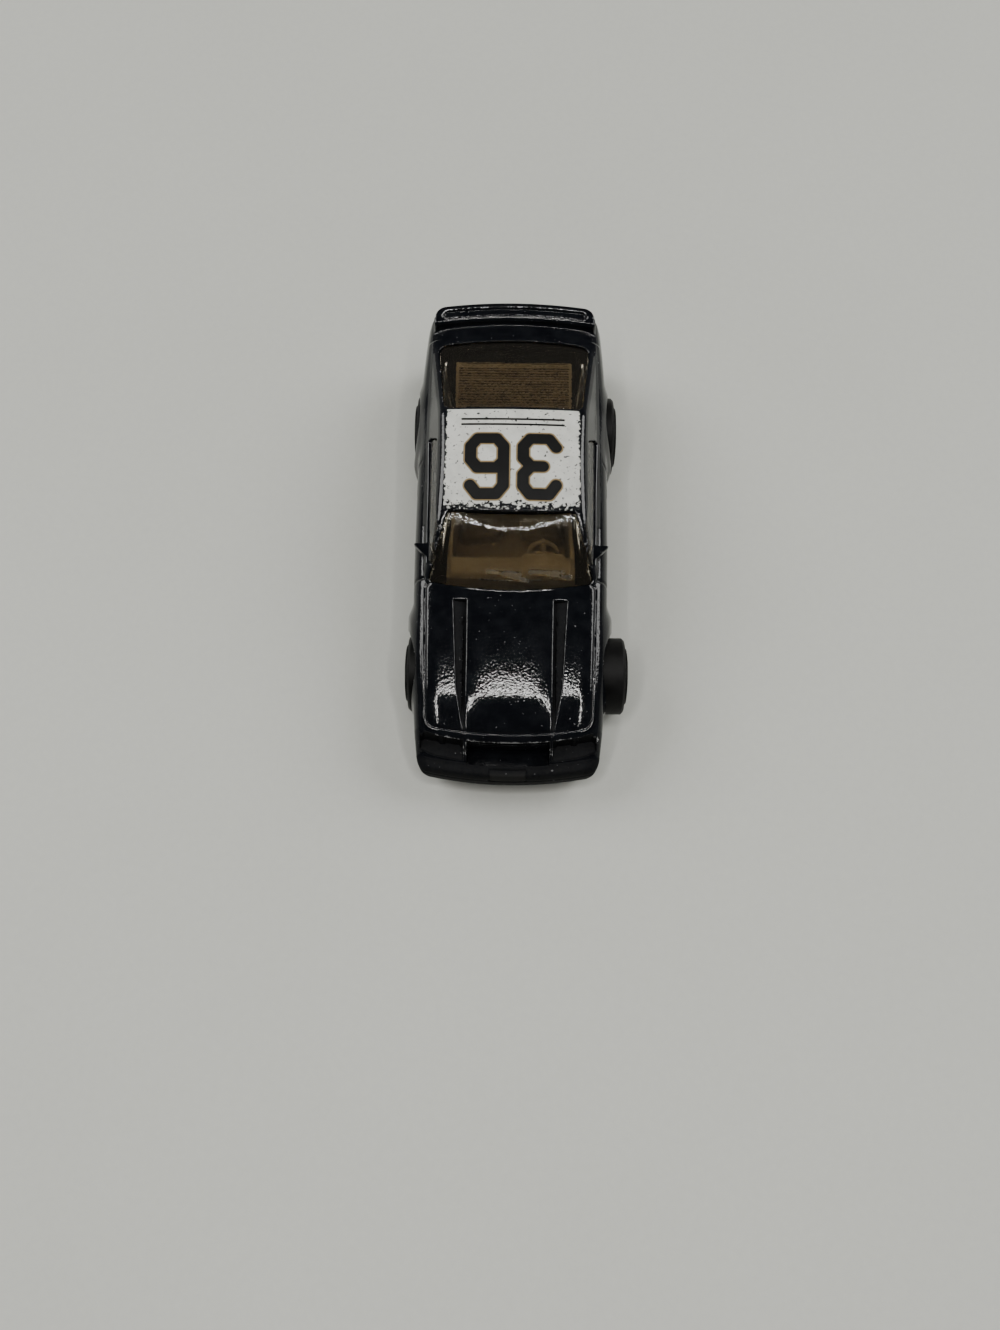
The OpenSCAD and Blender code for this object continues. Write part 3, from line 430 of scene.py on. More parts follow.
def window_moulding(x, y, z):
    """One smoked shell under the roof, raised into panes at the openings, with two wipers."""
    s = station(np.abs(x), y)
    cab_f, roof_top = cabin(np.abs(x), s, z)
    inset = WALL + GLASS_GAP
    low = np.maximum(WAIST_Z - 2 * GLASS_SET - z, np.maximum(COWL - s, s - HATCH_END))
    sunk = ramp(s, HEADER - 5.6, HEADER + 0.4) * (1 - ramp(s, 1, 3)) * np.maximum(1 - (x / SUNK_X) ** 2, 0)
    sunk = SCREEN_SUNK * sunk
    panes = np.maximum(cab_f + GLASS_SET + sunk, windows(x, y, s, z, roof_top, GLASS_GAP))
    f = np.minimum(cab_f + inset, panes)
    f = np.maximum(np.maximum(f, low), -(cab_f + inset + GLASS_T))
    return soft_min(f, np.maximum(wipers(x, s), np.abs(cab_f + 0.35) - 0.3), 0.1)


WIPER_FEET, WIPER_R = (2.4, 8.6), 0.22


def wipers(x, s):
    """Two wipers in plan: an arm and a blade each."""
    foot = COWL + 1.3
    d = 1e6
    for x0 in WIPER_FEET:
        arm = (x0, foot), (x0 - 3.6, foot + 0.9)
        blade = (x0 - 1.0, foot + 0.85), (x0 - 5.8, foot + 1.1)
        for (ax, ay), (bx, by) in (arm, blade):
            ex, ey = bx - ax, by - ay
            t = np.clip(((x - ax) * ex + (s - ay) * ey) / (ex * ex + ey * ey), 0, 1)
            d = np.minimum(d, np.hypot(x - ax - ex * t, s - ay - ey * t))
    return d - WIPER_R


# Interior
TUB_X, TUB_START, TUB_END, LOAD_END = 9.3, -7.9, 13.2, 27.6
LOAD_Z, TRAY_Z = 10.6, 1.4
RIB_PITCH = 0.46
SEAT_X, STEER_R, STEER_TILT = 4.7, 2.1, math.radians(62)


def interior(x, y, z):
    """Tub, dashboard, two bucket seats, rear bench, steering wheel and the finely ribbed load floor."""
    tub_y, tub_l, tub_h = (TUB_START + TUB_END) / 2, TUB_END - TUB_START, LOAD_Z - TRAY_Z
    f = block(x, y, z, (0, tub_y, (TRAY_Z + LOAD_Z) / 2), (2 * TUB_X, tub_l, tub_h), 0.3)
    room = block(x, y, z, (0, tub_y, LOAD_Z), (2 * TUB_X - 1.6, tub_l - 1.6, 2 * tub_h - 1.6), 0.4)
    f = soft_max(f, -room, 0.2)
    f = soft_min(f, block(x, y, z, (0, TUB_START + 1.6, 9.5), (2 * TUB_X - 0.8, 3.0, 3.2), 0.6), 0.3)
    f = soft_min(f, block(x, y, z, (SEAT_X, TUB_START + 2.0, 9.7), (6.4, 3.4, 3.1), 0.8), 0.3)
    for x0 in (-SEAT_X, SEAT_X):
        f = soft_min(f, block(x, y, z, (x0, 4.1, 3.0), (6.4, 6.4, 2.6), 0.7), 0.3)
        lean = y - 7.2 - 0.21 * (z - 3.0)
        f = soft_min(f, block(x, lean, z, (x0, 0, 5.6), (6.2, 1.8, 5.6), 0.7), 0.3)
        f = soft_min(f, block(x, lean, z, (x0, 0, 8.4), (3.2, 1.4, 5.4), 0.6), 0.3)
    f = soft_min(f, block(x, y, z, (0, TUB_END - 2.2, 3.6), (2 * TUB_X - 0.8, 3.6, 4.2), 0.7), 0.3)
    c, w = math.cos(STEER_TILT), math.sin(STEER_TILT)
    u, v = y - TUB_START - 4.0, z - 9.9
    across, along = u * c + v * w, v * c - u * w
    wheel = np.hypot(np.hypot(x - SEAT_X, across) - STEER_R, along) - 0.3
    spoke = block(x, across, along, (SEAT_X, 0, 0), (2 * STEER_R, 0.6, 0.4), 0.15)
    column = np.maximum(np.hypot(x - SEAT_X, across) - 0.4, np.abs(along + 1.5) - 1.5)
    f = np.minimum(f, np.minimum(np.minimum(wheel, spoke), column))
    ribs = 0.2 * np.cos(2 * math.pi * y / RIB_PITCH) * (1 - ramp(np.abs(x), 8.2, 8.5))
    ribs = ribs * ramp(y, TUB_END + 0.6, TUB_END + 0.9)
    ribs = ribs * (1 - ramp(y, LOAD_END - 1.2, LOAD_END - 0.9))
    load_y, load_l = (TUB_END + LOAD_END) / 2 - 0.4, LOAD_END - TUB_END + 0.8
    load = block(x, y, z, (0, load_y, LOAD_Z - 0.3), (2 * TUB_X - 0.8, load_l, 1.0), 0.2)
    return soft_min(f, load - ribs * ramp(z, LOAD_Z - 0.2, LOAD_Z), 0.2)


# Wheels
HUB_R, BORE_R, SPOKES, SPOKE_W = 1.45, 0.66, 5, 1.1


def wheel_shape(r, w):
    """A one-piece wheel with its inner face at x = 0: tread, raised ring, spoked dish and a hollow back."""
    ring, face = r - 1.5, w - 0.4
    dish = w - 1.1
    back = dish - 1.1
    profile = [
        (BORE_R, 0), (HUB_R, 0), (HUB_R, back), (r - 1.2, back), (r - 1.2, 0), (r - 0.35, 0), (r, 0.35),
        (r, face - 0.35), (r - 0.35, face), (ring, face), (ring, w - 0.1), (ring - 0.1, w), (ring - 0.8, w),
        (ring - 1.0, dish), (HUB_R + 0.1, dish), (HUB_R - 0.1, dish + 0.12), (BORE_R, dish + 0.12)]

    def shape(x, y, z):
        reach = np.hypot(y, z)
        f = outline(reach, x, profile)
        turn = math.pi / SPOKES
        angle = np.mod(np.arctan2(z, y) + turn, 2 * turn) - turn
        gap = np.maximum(SPOKE_W / 2 - reach * np.sin(turn - np.abs(angle)), HUB_R + 0.25 - reach)
        gap = np.maximum(soft_max(gap, reach - ring + 1.2, 0.5), back - 1 - x)
        return soft_max(f, -gap, 0.25)

    return shape


# From a distance function to a mesh
CORNERS = np.array([(i, j, k) for i in (0, 1) for j in (0, 1) for k in (0, 1)])


def surface_net(values, origin, step):
    """One vertex per cell that the surface crosses, one quad per grid edge that it crosses."""
    inside = values < 0
    n = np.array(values.shape) - 1
    count = sum(inside[i:i + n[0], j:j + n[1], k:k + n[2]].astype(np.int8) for i, j, k in CORNERS)
    cells = np.argwhere((count > 0) & (count < 8))
    corner = np.stack([values[tuple((cells + c).T)] for c in CORNERS], axis=1)
    total = np.zeros((len(cells), 3))
    hits = np.zeros(len(cells))
    for a in range(8):
        for b in range(a + 1, 8):
            if np.abs(CORNERS[a] - CORNERS[b]).sum() == 1:
                fa, fb = corner[:, a], corner[:, b]
                crossed = (fa < 0) != (fb < 0)
                t = np.where(crossed, fa / np.where(crossed, fa - fb, 1), 0)
                total += np.where(crossed[:, None], CORNERS[a] + t[:, None] * (CORNERS[b] - CORNERS[a]), 0)
                hits += crossed
    points = origin + step * (cells + total / hits[:, None])
    number = np.full(n, -1, np.int32)
    number[tuple(cells.T)] = np.arange(len(cells))
    quads = []
    for axis in range(3):
        u, v = (axis + 1) % 3, (axis + 2) % 3
        lower = [slice(None)] * 3
        upper = [slice(None)] * 3
        lower[axis], upper[axis] = slice(0, -1), slice(1, None)
        first = inside[tuple(lower)]
        edges = np.argwhere(first != inside[tuple(upper)])
        edges = edges[(edges[:, u] > 0) & (edges[:, v] > 0) & (edges[:, u] < n[u]) & (edges[:, v] < n[v])]
        shift_u, shift_v = np.eye(3, dtype=int)[u], np.eye(3, dtype=int)[v]
        ring = [edges - shift_u - shift_v, edges - shift_v, edges, edges - shift_u]
        quad = np.stack([number[tuple(c.T)] for c in ring], axis=1)
        out = first[tuple(edges.T)]
        quads.append(np.where(out[:, None], quad, quad[:, ::-1]))
    return points, np.concatenate(quads)


def gradient(shape, p, reach):
    """Slope of a distance function at scattered points."""
    g = np.empty_like(p)
    for k in range(3):
        shift = np.zeros(3)
        shift[k] = reach
        g[:, k] = (shape(*(p + shift).T) - shape(*(p - shift).T)) / (2 * reach)
    return g


def onto_surface(shape, p, limit):
    """Points moved onto the surface, never further than the limit."""
    for _ in range(3):
        g = gradient(shape, p, 0.02)
        pull = shape(*p.T) / np.maximum((g * g).sum(1), 0.05)
        move = g * pull[:, None]
        size = np.linalg.norm(move, axis=1, keepdims=True)
        p = p - move * np.minimum(1, limit / np.maximum(size, 1e-9))
    return p


def new_object(name, points, faces):
    mesh = bpy.data.meshes.new(name)
    mesh.from_pydata((np.asarray(points) * MM).tolist(), [], np.asarray(faces).tolist())
    mesh.update()
    piece = bpy.data.objects.new(name, mesh)
    bpy.context.scene.collection.objects.link(piece)
    return piece


def coordinates(mesh):
    co = np.empty(len(mesh.vertices) * 3, np.float32)
    mesh.vertices.foreach_get("co", co)
    return co.reshape(-1, 3) / MM


def thinned(piece, share):
    """The piece with fewer triangles where it is flat."""
    modifier = piece.modifiers.new("thin", "DECIMATE")
    modifier.ratio = share
    mesh = bpy.data.meshes.new_from_object(piece.evaluated_get(bpy.context.evaluated_depsgraph_get()))
    piece.modifiers.remove(modifier)
    piece.data = mesh


def shaded(piece, shape):
    """Smooth shading with the distance function's own normals."""
    mesh = piece.data
    mesh.polygons.foreach_set("use_smooth", np.ones(len(mesh.polygons), bool))
    g = gradient(shape, coordinates(mesh).astype(np.float64), 0.03)
    g /= np.maximum(np.linalg.norm(g, axis=1, keepdims=True), 1e-6)
    mesh.normals_split_custom_set_from_vertices(g.tolist())


def solid(name, shape, low, high, step, share=1.0, both_sides=False):
    """A closed mesh of a distance function within a box; both_sides mirrors a symmetric half."""
    low, high = np.array(low, float), np.array(high, float)
    axes = [np.arange(a - 2 * step, b + 3 * step, step) for a, b in zip(low, high)]
    if both_sides:
        axes[0] = np.arange(0, high[0] + 3 * step, step)
    x, y, z = np.meshgrid(*[a.astype(np.float32) for a in axes], indexing="ij", sparse=True)
    values = np.asarray(shape(x, y, z), np.float32)
    if both_sides:
        values = np.concatenate([values[:0:-1], values])
        low[0] = -high[0]
    origin = [-axes[0][-1] if both_sides else axes[0][0], axes[1][0], axes[2][0]]
    points, quads = surface_net(values, np.array(origin), step)
    points = np.clip(onto_surface(shape, points, step / 2), low, high)
    piece = new_object(name, points, quads)
    if share < 1:
        thinned(piece, share)
    shaded(piece, shape)
    return piece


# Materials
def material(name, colour, roughness, metallic=0.0):
    made = bpy.data.materials.new(name)
    made.use_nodes = True
    shader = made.node_tree.nodes["Principled BSDF"]
    shader.inputs["Base Color"].default_value = (*colour, 1)
    shader.inputs["Roughness"].default_value = roughness
    shader.inputs["Metallic"].default_value = metallic
    return made, made.node_tree, shader


def node(tree, kind, **inputs):
    made = tree.nodes.new(kind)
    for key, value in inputs.items():
        made.inputs[key.replace("_", " ")].default_value = value
    return made


def noise(tree, place, scale, detail=3.0, rough=0.55):
    made = node(tree, "ShaderNodeTexNoise", Scale=scale, Detail=detail, Roughness=rough)
    tree.links.new(place, made.inputs["Vector"])
    return made.outputs["Fac"]


def stepped(tree, value, start, end):
    """0 below start and 1 above end."""
    made = tree.nodes.new("ShaderNodeMapRange")
    made.interpolation_type = "SMOOTHSTEP"
    made.inputs["From Min"].default_value = start
    made.inputs["From Max"].default_value = end
    tree.links.new(value, made.inputs["Value"])
    return made.outputs["Result"]


def maths(tree, how, a, b):
    made = tree.nodes.new("ShaderNodeMath")
    made.operation = how
    for socket, value in zip(made.inputs, (a, b)):
        if isinstance(value, (int, float)):
            socket.default_value = value
        else:
            tree.links.new(value, socket)
    return made.outputs[0]


def mixed(tree, share, a, b):
    """Colour a where share is 0 and colour b where it is 1."""
    made = tree.nodes.new("ShaderNodeMix")
    made.data_type = "RGBA"
    tree.links.new(share, made.inputs["Factor"])
    for socket, value in ((made.inputs["A"], a), (made.inputs["B"], b)):
        if isinstance(value, tuple):
            socket.default_value = (*value, 1)
        else:
            tree.links.new(value, socket)
    return made.outputs["Result"]


def bump(tree, shader, height, strength, distance):
    made = node(tree, "ShaderNodeBump", Strength=strength, Distance=distance * MM)
    tree.links.new(height, made.inputs["Height"])
    tree.links.new(made.outputs["Normal"], shader.inputs["Normal"])
    return made


def object_place(tree):
    return tree.nodes.new("ShaderNodeTexCoord").outputs["Object"]


def attribute(tree, name):
    made = tree.nodes.new("ShaderNodeAttribute")
    made.attribute_name = name
    return made.outputs["Fac"]


PER_MM = 1000.0


def paint():
    """Gloss black with orange peel, dust specks, and grey metal where edges have rubbed through; as painted
    shade, faces that look sideways, the lamp pockets and the hood's recesses shine less.
    """
    made, tree, shader = material("gloss_black_paint", (0.004, 0.0045, 0.006), 0.12)
    place = object_place(tree)
    coarse = noise(tree, place, 0.5 * PER_MM, 4)
    fine = noise(tree, place, 2.6 * PER_MM, 3)
    patch = maths(tree, "MULTIPLY", maths(tree, "SUBTRACT", coarse, 0.5), 1.6)
    grain = maths(tree, "MULTIPLY", maths(tree, "SUBTRACT", fine, 0.5), 1.2)
    worn = maths(tree, "ADD", attribute(tree, "wear"), maths(tree, "ADD", patch, grain))
    rubbed = stepped(tree, worn, 0.82, 0.97)
    specks = stepped(tree, noise(tree, place, 2.2 * PER_MM, 2, 0.4), 0.73, 0.77)
    bare = maths(tree, "MAXIMUM", rubbed, maths(tree, "MULTIPLY", specks, 0.35))
    dust = mixed(tree, stepped(tree, coarse, 0.35, 0.75), (0.003, 0.0035, 0.005), (0.007, 0.008, 0.01))
    scuffed = maths(tree, "MULTIPLY", attribute(tree, "scuff_and_shade"), stepped(tree, fine, 0.2, 0.8))
    tint = mixed(tree, scuffed, dust, (0.01, 0.01, 0.0102))
    tint = mixed(tree, attribute(tree, "plate"), tint, (0.016, 0.016, 0.0155))
    colour = mixed(tree, bare, tint, (0.4, 0.4, 0.41))
    tree.links.new(colour, shader.inputs["Base Color"])
    rough = maths(tree, "ADD", maths(tree, "MULTIPLY", bare, 0.2), maths(tree, "MULTIPLY", fine, 0.1))
    rough = maths(tree, "ADD", rough, maths(tree, "MULTIPLY", attribute(tree, "scuff_and_shade"), 0.55))
    tree.links.new(maths(tree, "ADD", rough, 0.03), shader.inputs["Roughness"])
    # the bumper is rubbed matt; in the lamp pockets and the hood's recesses the lost shine is painted shade
    shine = maths(tree, "SUBTRACT", 0.5, maths(tree, "MULTIPLY", attribute(tree, "scuff_and_shade"), 0.42))
    # painted shade: faces that look sideways reflect less, so the sides look dark
    shine = maths(tree, "SUBTRACT", shine, maths(tree, "MULTIPLY", attribute(tree, "painted_side_shade"), 0.34))
    tree.links.new(maths(tree, "MAXIMUM", shine, 0.05), shader.inputs["Specular IOR Level"])
    tree.links.new(maths(tree, "MULTIPLY", rubbed, 0.8), shader.inputs["Metallic"])
    bump(tree, shader, noise(tree, place, 3.1 * PER_MM, 1, 0.5), 0.45, 0.033)
    return made


def smoked():
    """Brown smoked clear plastic with fine scratches; the tops of the wipers are painted pale and frosted,
    a painted highlight that shows them as bright lines.
    """
    made, tree, shader = material("smoked_plastic", (0.5, 0.44, 0.34), 0.1)
    place = object_place(tree)
    haze = noise(tree, place, 1.6 * PER_MM, 4)
    # painted highlight: the wiper tops are pale and frosted so they show as bright lines
    rubbed = attribute(tree, "wiper")
    rough = maths(tree, "ADD", maths(tree, "MULTIPLY", stepped(tree, haze, 0.5, 0.75), 0.12), 0.04)
    rough = maths(tree, "ADD", rough, maths(tree, "MULTIPLY", rubbed, 0.3))
    tree.links.new(rough, shader.inputs["Roughness"])
    tint = mixed(tree, haze, (0.52, 0.47, 0.38), (0.6, 0.55, 0.45))
    tree.links.new(mixed(tree, rubbed, tint, (0.9, 0.86, 0.76)), shader.inputs["Base Color"])
    shader.inputs["Transmission Weight"].default_value = 0.985
    shader.inputs["IOR"].default_value = 1.4
    bump(tree, shader, noise(tree, place, 1.9 * PER_MM, 1, 0.5), 0.5, 0.042)
    return made


def satin(name, dark, light, roughness, grain, depth, ribbed=False):
    """Plain moulded plastic with a slight grain; a ribbed one has painted shade in the bottoms of its
    grooves.
    """
    made, tree, shader = material(name, dark, roughness)
    place = object_place(tree)
    cloud = noise(tree, place, 0.45 * PER_MM, 4)
    tone = mixed(tree, stepped(tree, cloud, 0.3, 0.75), dark, light)
    if ribbed:
        # painted shade: the bottoms of the rib grooves are darkened
        tone = mixed(tree, attribute(tree, "groove"), tone, tuple(0.15 * c for c in dark))
    tree.links.new(tone, shader.inputs["Base Color"])
    rough = maths(tree, "ADD", maths(tree, "MULTIPLY", cloud, 0.25), roughness - 0.12)
    tree.links.new(rough, shader.inputs["Roughness"])
    shader.inputs["Specular IOR Level"].default_value = 0.16
    bump(tree, shader, noise(tree, place, grain * PER_MM, 3), 0.3, depth)
    return made


def steel():
    """Axle wire, a little tarnished."""
    made, tree, shader = material("axle_steel", (0.5, 0.5, 0.51), 0.32, 1.0)
    place = object_place(tree)
    cloud = noise(tree, place, 1.1 * PER_MM, 4)
    tone = mixed(tree, stepped(tree, cloud, 0.4, 0.7), (0.5, 0.5, 0.51), (0.34, 0.32, 0.3))
    tree.links.new(tone, shader.inputs["Base Color"])
    bump(tree, shader, cloud, 0.2, 0.03)
    return made


def printed(name, colour, chip, edge=False):
    """Ink on the roof, chipped off down to the black paint here and there, most near the front edge."""
    made, tree, shader = material(name, colour, 0.4)
    place = object_place(tree)
    cloud = noise(tree, place, 0.4 * PER_MM, 4)
    fine = noise(tree, place, 1.7 * PER_MM, 4, 0.65)
    if edge:
        fine = maths(tree, "ADD", fine, maths(tree, "MULTIPLY", attribute(tree, "edge"), 0.24))
    off = stepped(tree, fine, chip, chip + 0.025)
    dull = tuple(0.82 * c for c in colour)
    tone = mixed(tree, stepped(tree, cloud, 0.35, 0.75), colour, dull)
    tree.links.new(mixed(tree, off, tone, (0.008, 0.009, 0.011)), shader.inputs["Base Color"])
    rough = maths(tree, "SUBTRACT", 0.42, maths(tree, "MULTIPLY", off, 0.25))
    tree.links.new(rough, shader.inputs["Roughness"])
    shader.inputs["Specular IOR Level"].default_value = 0.12
    bump(tree, shader, fine, 0.25, 0.03)
    return made


def store(piece, name, values):
    """Keep one value per vertex for a material to read."""
    held = piece.data.attributes.new(name, "FLOAT", "POINT")
    held.data.foreach_set("value", np.asarray(values, np.float32))


# Body
BODY_HIGH, BODY_SHARE = (15.2, TAIL, ROOF_Z), 0.35
REACH, WEAR, SPOILER_WEAR, BUMPER_WEAR = 0.3, 0.42, 1.7, 0.85
body = solid("body_casting", casting, (0, NOSE, 0), BODY_HIGH, GRID, BODY_SHARE, both_sides=True)
co = coordinates(body.data).astype(np.float64)
cx, cy, cz = np.abs(co[:, 0]), co[:, 1], co[:, 2]
run = station(cx, cy)

# Paint is rubbed where the skin bends outward, more so high up and on the spoiler
bend = -6 * casting(*co.T)
for k in range(3):
    for way in (-REACH, REACH):
        shifted = co.copy()
        shifted[:, k] += way
        bend = bend + casting(*shifted.T)
height = np.clip((cz - 2) / 6, 0.2, 1)
handled = height * np.where(cy > SPOILER_Y, SPOILER_WEAR, np.where(cy < BUMPER + 0.6, BUMPER_WEAR, 1))
store(body, "wear", np.clip(bend / REACH * WEAR, 0, 1) * handled)

# Matt places: the front bumper is rubbed matt; the lamp pockets and the floors of the hood's recesses are
# made matt and less shiny as painted shade, so they look dark
lens = 1 - ramp(np.abs(nose_recesses(cx, run, cz)[0]), 0.1, 0.2)
bumper = ramp(BUMPER + 0.4 - run, 0, 0.4)
trough = hood_recess(cx, cy, cz, lower_body(cx, run, cz)[1])
scoop = (1 - ramp(np.abs(trough), 0.05, 0.14)) * (cz > HOOD_Z - 1)
store(body, "scuff_and_shade", np.maximum(np.maximum(lens, bumper), scoop))

# Painted shade: faces that look sideways shine less, so the sides look dark, apart from the pillars behind
# the side windows
facing = np.abs(gradient(casting, co, 0.05)[:, 0])
pillar = ramp(run, 10.5, 12.0) * (1 - ramp(run, 18.0, 20.0)) * ramp(cz, 11.0, 12.0)
store(body, "painted_side_shade", ramp(facing, 0.5, 0.8) * (1 - pillar))
plate = np.where(cy < -35.4, number_plate(cx, cz), 1)
store(body, "plate", 1 - ramp(plate, -0.15, 0))
body.data.materials.append(paint())
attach(body, "chassis")
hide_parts("body_shell")

# Windows and interior
GLASS_LOW, GLASS_HIGH = (-13.4, COWL - 2, 10.8), (13.4, HATCH_END + 2, 18.2)
glass = solid("smoked_windows", window_moulding, GLASS_LOW, GLASS_HIGH, GLASS_GRID, 0.6)
glass.data.materials.append(smoked())
place = coordinates(glass.data)
# Painted highlight: mark the tops of the wipers, which the material paints pale
run = station(np.abs(place[:, 0]), place[:, 1])
proud = cabin(np.abs(place[:, 0]), run, place[:, 2])[0] > -0.2
store(glass, "wiper", proud * (1 - ramp(wipers(place[:, 0], run), 0.0, 0.12)))
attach(glass, "chassis")
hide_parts("window_insert")
inside = solid("interior_moulding", interior, (-9.8, -8.3, 1.0), (9.8, 29.3, 12.6), INSIDE_GRID, 0.5)
brown = satin("brown_plastic", (0.36, 0.29, 0.19), (0.44, 0.36, 0.24), 0.5, 1.5, 0.03, ribbed=True)
inside.data.materials.append(brown)
place = coordinates(inside.data)
# Painted shade: the bottoms of the rib grooves on the load floor, for the material to darken
ribbed_floor = (place[:, 2] > LOAD_Z - 0.6) * (place[:, 1] > TUB_END + 0.6) * (np.abs(place[:, 0]) < 8.4)
store(inside, "groove", ribbed_floor * ramp(-np.cos(2 * math.pi * place[:, 1] / RIB_PITCH), -0.2, 0.8))
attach(inside, "chassis")
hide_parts("interior_tray")

# Wheels
rubber = satin("black_plastic", (0.004, 0.004, 0.004), (0.008, 0.008, 0.0078), 0.5, 1.2, 0.04)
FRONT_WHEEL, REAR_WHEEL = (5.645, 4.5), (6.095, 4.9)
for name, (r, w), side in (
        ("front_left_wheel", FRONT_WHEEL, 1), ("front_right_wheel", FRONT_WHEEL, -1),
        ("rear_left_wheel", REAR_WHEEL, 1), ("rear_right_wheel", REAR_WHEEL, -1)):
    low, high = (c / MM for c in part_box(name))
    wheel = solid(name + "_moulding", wheel_shape(r, w), (0, -r, -r), (w, r, r), GRID, 0.6)
    inner = low.x if side > 0 else high.x
    wheel.location = Vector((inner, (low.y + high.y) / 2, (low.z + high.z) / 2)) * MM
    wheel.rotation_euler = (0, 0, 0 if side > 0 else math.pi)
    wheel.data.materials.append(rubber)
    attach(wheel, name)
    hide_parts(name)

# CAD pieces that are shown as they are
BEVEL_W = 0.08
base_look = satin("base_plastic", (0.008, 0.008, 0.0085), (0.016, 0.016, 0.0165), 0.5, 1.0, 0.04)
for name, look in (("base_plate", base_look), ("front_axle", steel()), ("rear_axle", steel())):
    nodes[name].data.materials.clear()
    nodes[name].data.materials.append(look)
    round_off = nodes[name].modifiers.new("rounded_edges", "BEVEL")
    round_off.width = BEVEL_W * MM
    round_off.segments = 2
    round_off.limit_method = "ANGLE"

# Roof print: a white panel, a plain two-digit number and two plain stripes
PANEL_X, PANEL_START, PANEL_END = 9.9, HEADER + 0.6, ROOF_END + 0.2
PANEL_LIFT, PRINT_LIFT, NUMBER_LIFT, INK_T = 0.014, 0.022, 0.03, 0.012


def roof_height(x, y):
    """Height of the roof's skin."""
    x = np.abs(x)
    s = station(x, y)
    z = cabin(x, s, np.float32(0))[1]
    for _ in range(6):
        z = z - casting(x, y, z)
    return z


def sheet(name, shape, low, high, step, lift, look):
    """A thin layer on the roof, where a flat shape is negative."""
    across, along = (np.arange(a, b + step, step) for a, b in zip(low, high))
    u, v = np.meshgrid(across, along, indexing="ij")
    d = shape(u, v)
    eps = step / 4
    gu, gv = (shape(u + eps, v) - d) / eps, (shape(u, v + eps) - d) / eps
    close = np.abs(d) < 0.72 * step
    size = np.maximum(gu * gu + gv * gv, 0.2)
    u = np.where(close, u - d * gu / size, u)
    v = np.where(close, v - d * gv / size, v)
    n = np.arange(u.size).reshape(u.shape)
    quads = np.stack([n[:-1, :-1], n[1:, :-1], n[1:, 1:], n[:-1, 1:]], axis=-1).reshape(-1, 4)
    mid_u, mid_v = u.ravel()[quads].mean(1), v.ravel()[quads].mean(1)
    quads = quads[shape(mid_u, mid_v) < 0]
    used, quads = np.unique(quads, return_inverse=True)
    u, v = u.ravel()[used], v.ravel()[used]
    layer = new_object(name, np.stack([u, v, roof_height(u, v) + lift], axis=1), quads.reshape(-1, 4))
    layer.data.polygons.foreach_set("use_smooth", np.ones(len(layer.data.polygons), bool))
    thick = layer.modifiers.new("ink", "SOLIDIFY")
    thick.thickness = INK_T * MM
    thick.offset = -1
    layer.data.materials.append(look)
    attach(layer, "chassis")
    return layer


def panel(x, y):
    """Outline of the white panel."""
    return outline(x, y, [
        (-PANEL_X, PANEL_START), (PANEL_X, PANEL_START), (PANEL_X, PANEL_END), (-PANEL_X, PANEL_END)])


# Strokes of the two digits on a grid 10 wide and 16 high
THREE = [[(1.2, 12.6), (2.8, 14.8), (7.2, 14.8), (8.8, 12.8), (8.8, 10.2), (7.0, 8.2), (4.2, 8.2)],
         [(7.0, 8.2), (8.8, 6.2), (8.8, 3.2), (7.2, 1.2), (2.8, 1.2), (1.2, 3.4)]]
SIX = [[(8.8, 12.8), (7.2, 14.8), (2.8, 14.8), (1.2, 12.8), (1.2, 3.2), (2.8, 1.2), (7.2, 1.2), (8.8, 3.2),
        (8.8, 6.6), (7.2, 8.6), (2.8, 8.6), (1.2, 7.0)]]
CELLS_W, CELLS_H = 10, 16
DIGIT_W, DIGIT_H, STROKE = 6.3, 10.4, 0.85
DIGIT_FOOT, STROKE_RIM = 11.6, 0.22
STRIPE_Y, STRIPE_X, STRIPE_OFF, STRIPE_W = 13.7, 7.6, 0.45, 0.17


def number(x, y):
    """Two digits that read from behind the car."""
    d = np.full(np.shape(x), 1e6)
    for digit, left in ((THREE, -7.1), (SIX, 0.55)):
        u = (-x - left) * CELLS_W / DIGIT_W
        v = (DIGIT_FOOT - y) * CELLS_H / DIGIT_H
        for stroke in digit:
            for (ax, ay), (bx, by) in zip(stroke, stroke[1:]):
                ex, ey = bx - ax, by - ay
                t = np.clip(((u - ax) * ex + (v - ay) * ey) / (ex * ex + ey * ey), 0, 1)
                du = (u - ax - ex * t) * DIGIT_W / CELLS_W
                dv = (v - ay - ey * t) * DIGIT_H / CELLS_H
                d = np.minimum(d, np.hypot(du, dv))
    return d - STROKE


def stripes(x, y):
    """Two plain stripes across the panel."""
    return np.maximum(np.abs(np.abs(y - STRIPE_Y) - STRIPE_OFF) - STRIPE_W, np.abs(x) - STRIPE_X)


white_ink = printed("white_ink", (0.7, 0.705, 0.66), 0.618, edge=True)
PANEL_LOW, PANEL_HIGH = (-10.2, PANEL_START - 0.4), (10.2, PANEL_END + 0.4)
white = sheet("roof_panel", panel, PANEL_LOW, PANEL_HIGH, 0.25, PANEL_LIFT, white_ink)
place = coordinates(white.data)
side_rim = 1 - (PANEL_X - np.abs(place[:, 0])) / 0.4
front_rim = 1 - (place[:, 1] - PANEL_START) / 1.6
store(white, "edge", np.clip(np.maximum(side_rim, front_rim), 0, 1))
NUMBER_LOW, NUMBER_HIGH = (-8.4, 0.4), (8.4, 12.6)
tan_ink = printed("tan_ink", (0.3, 0.22, 0.11), 0.7)


def number_rim(x, y):
    """The two digits, a little wider."""
    return number(x, y) - STROKE_RIM


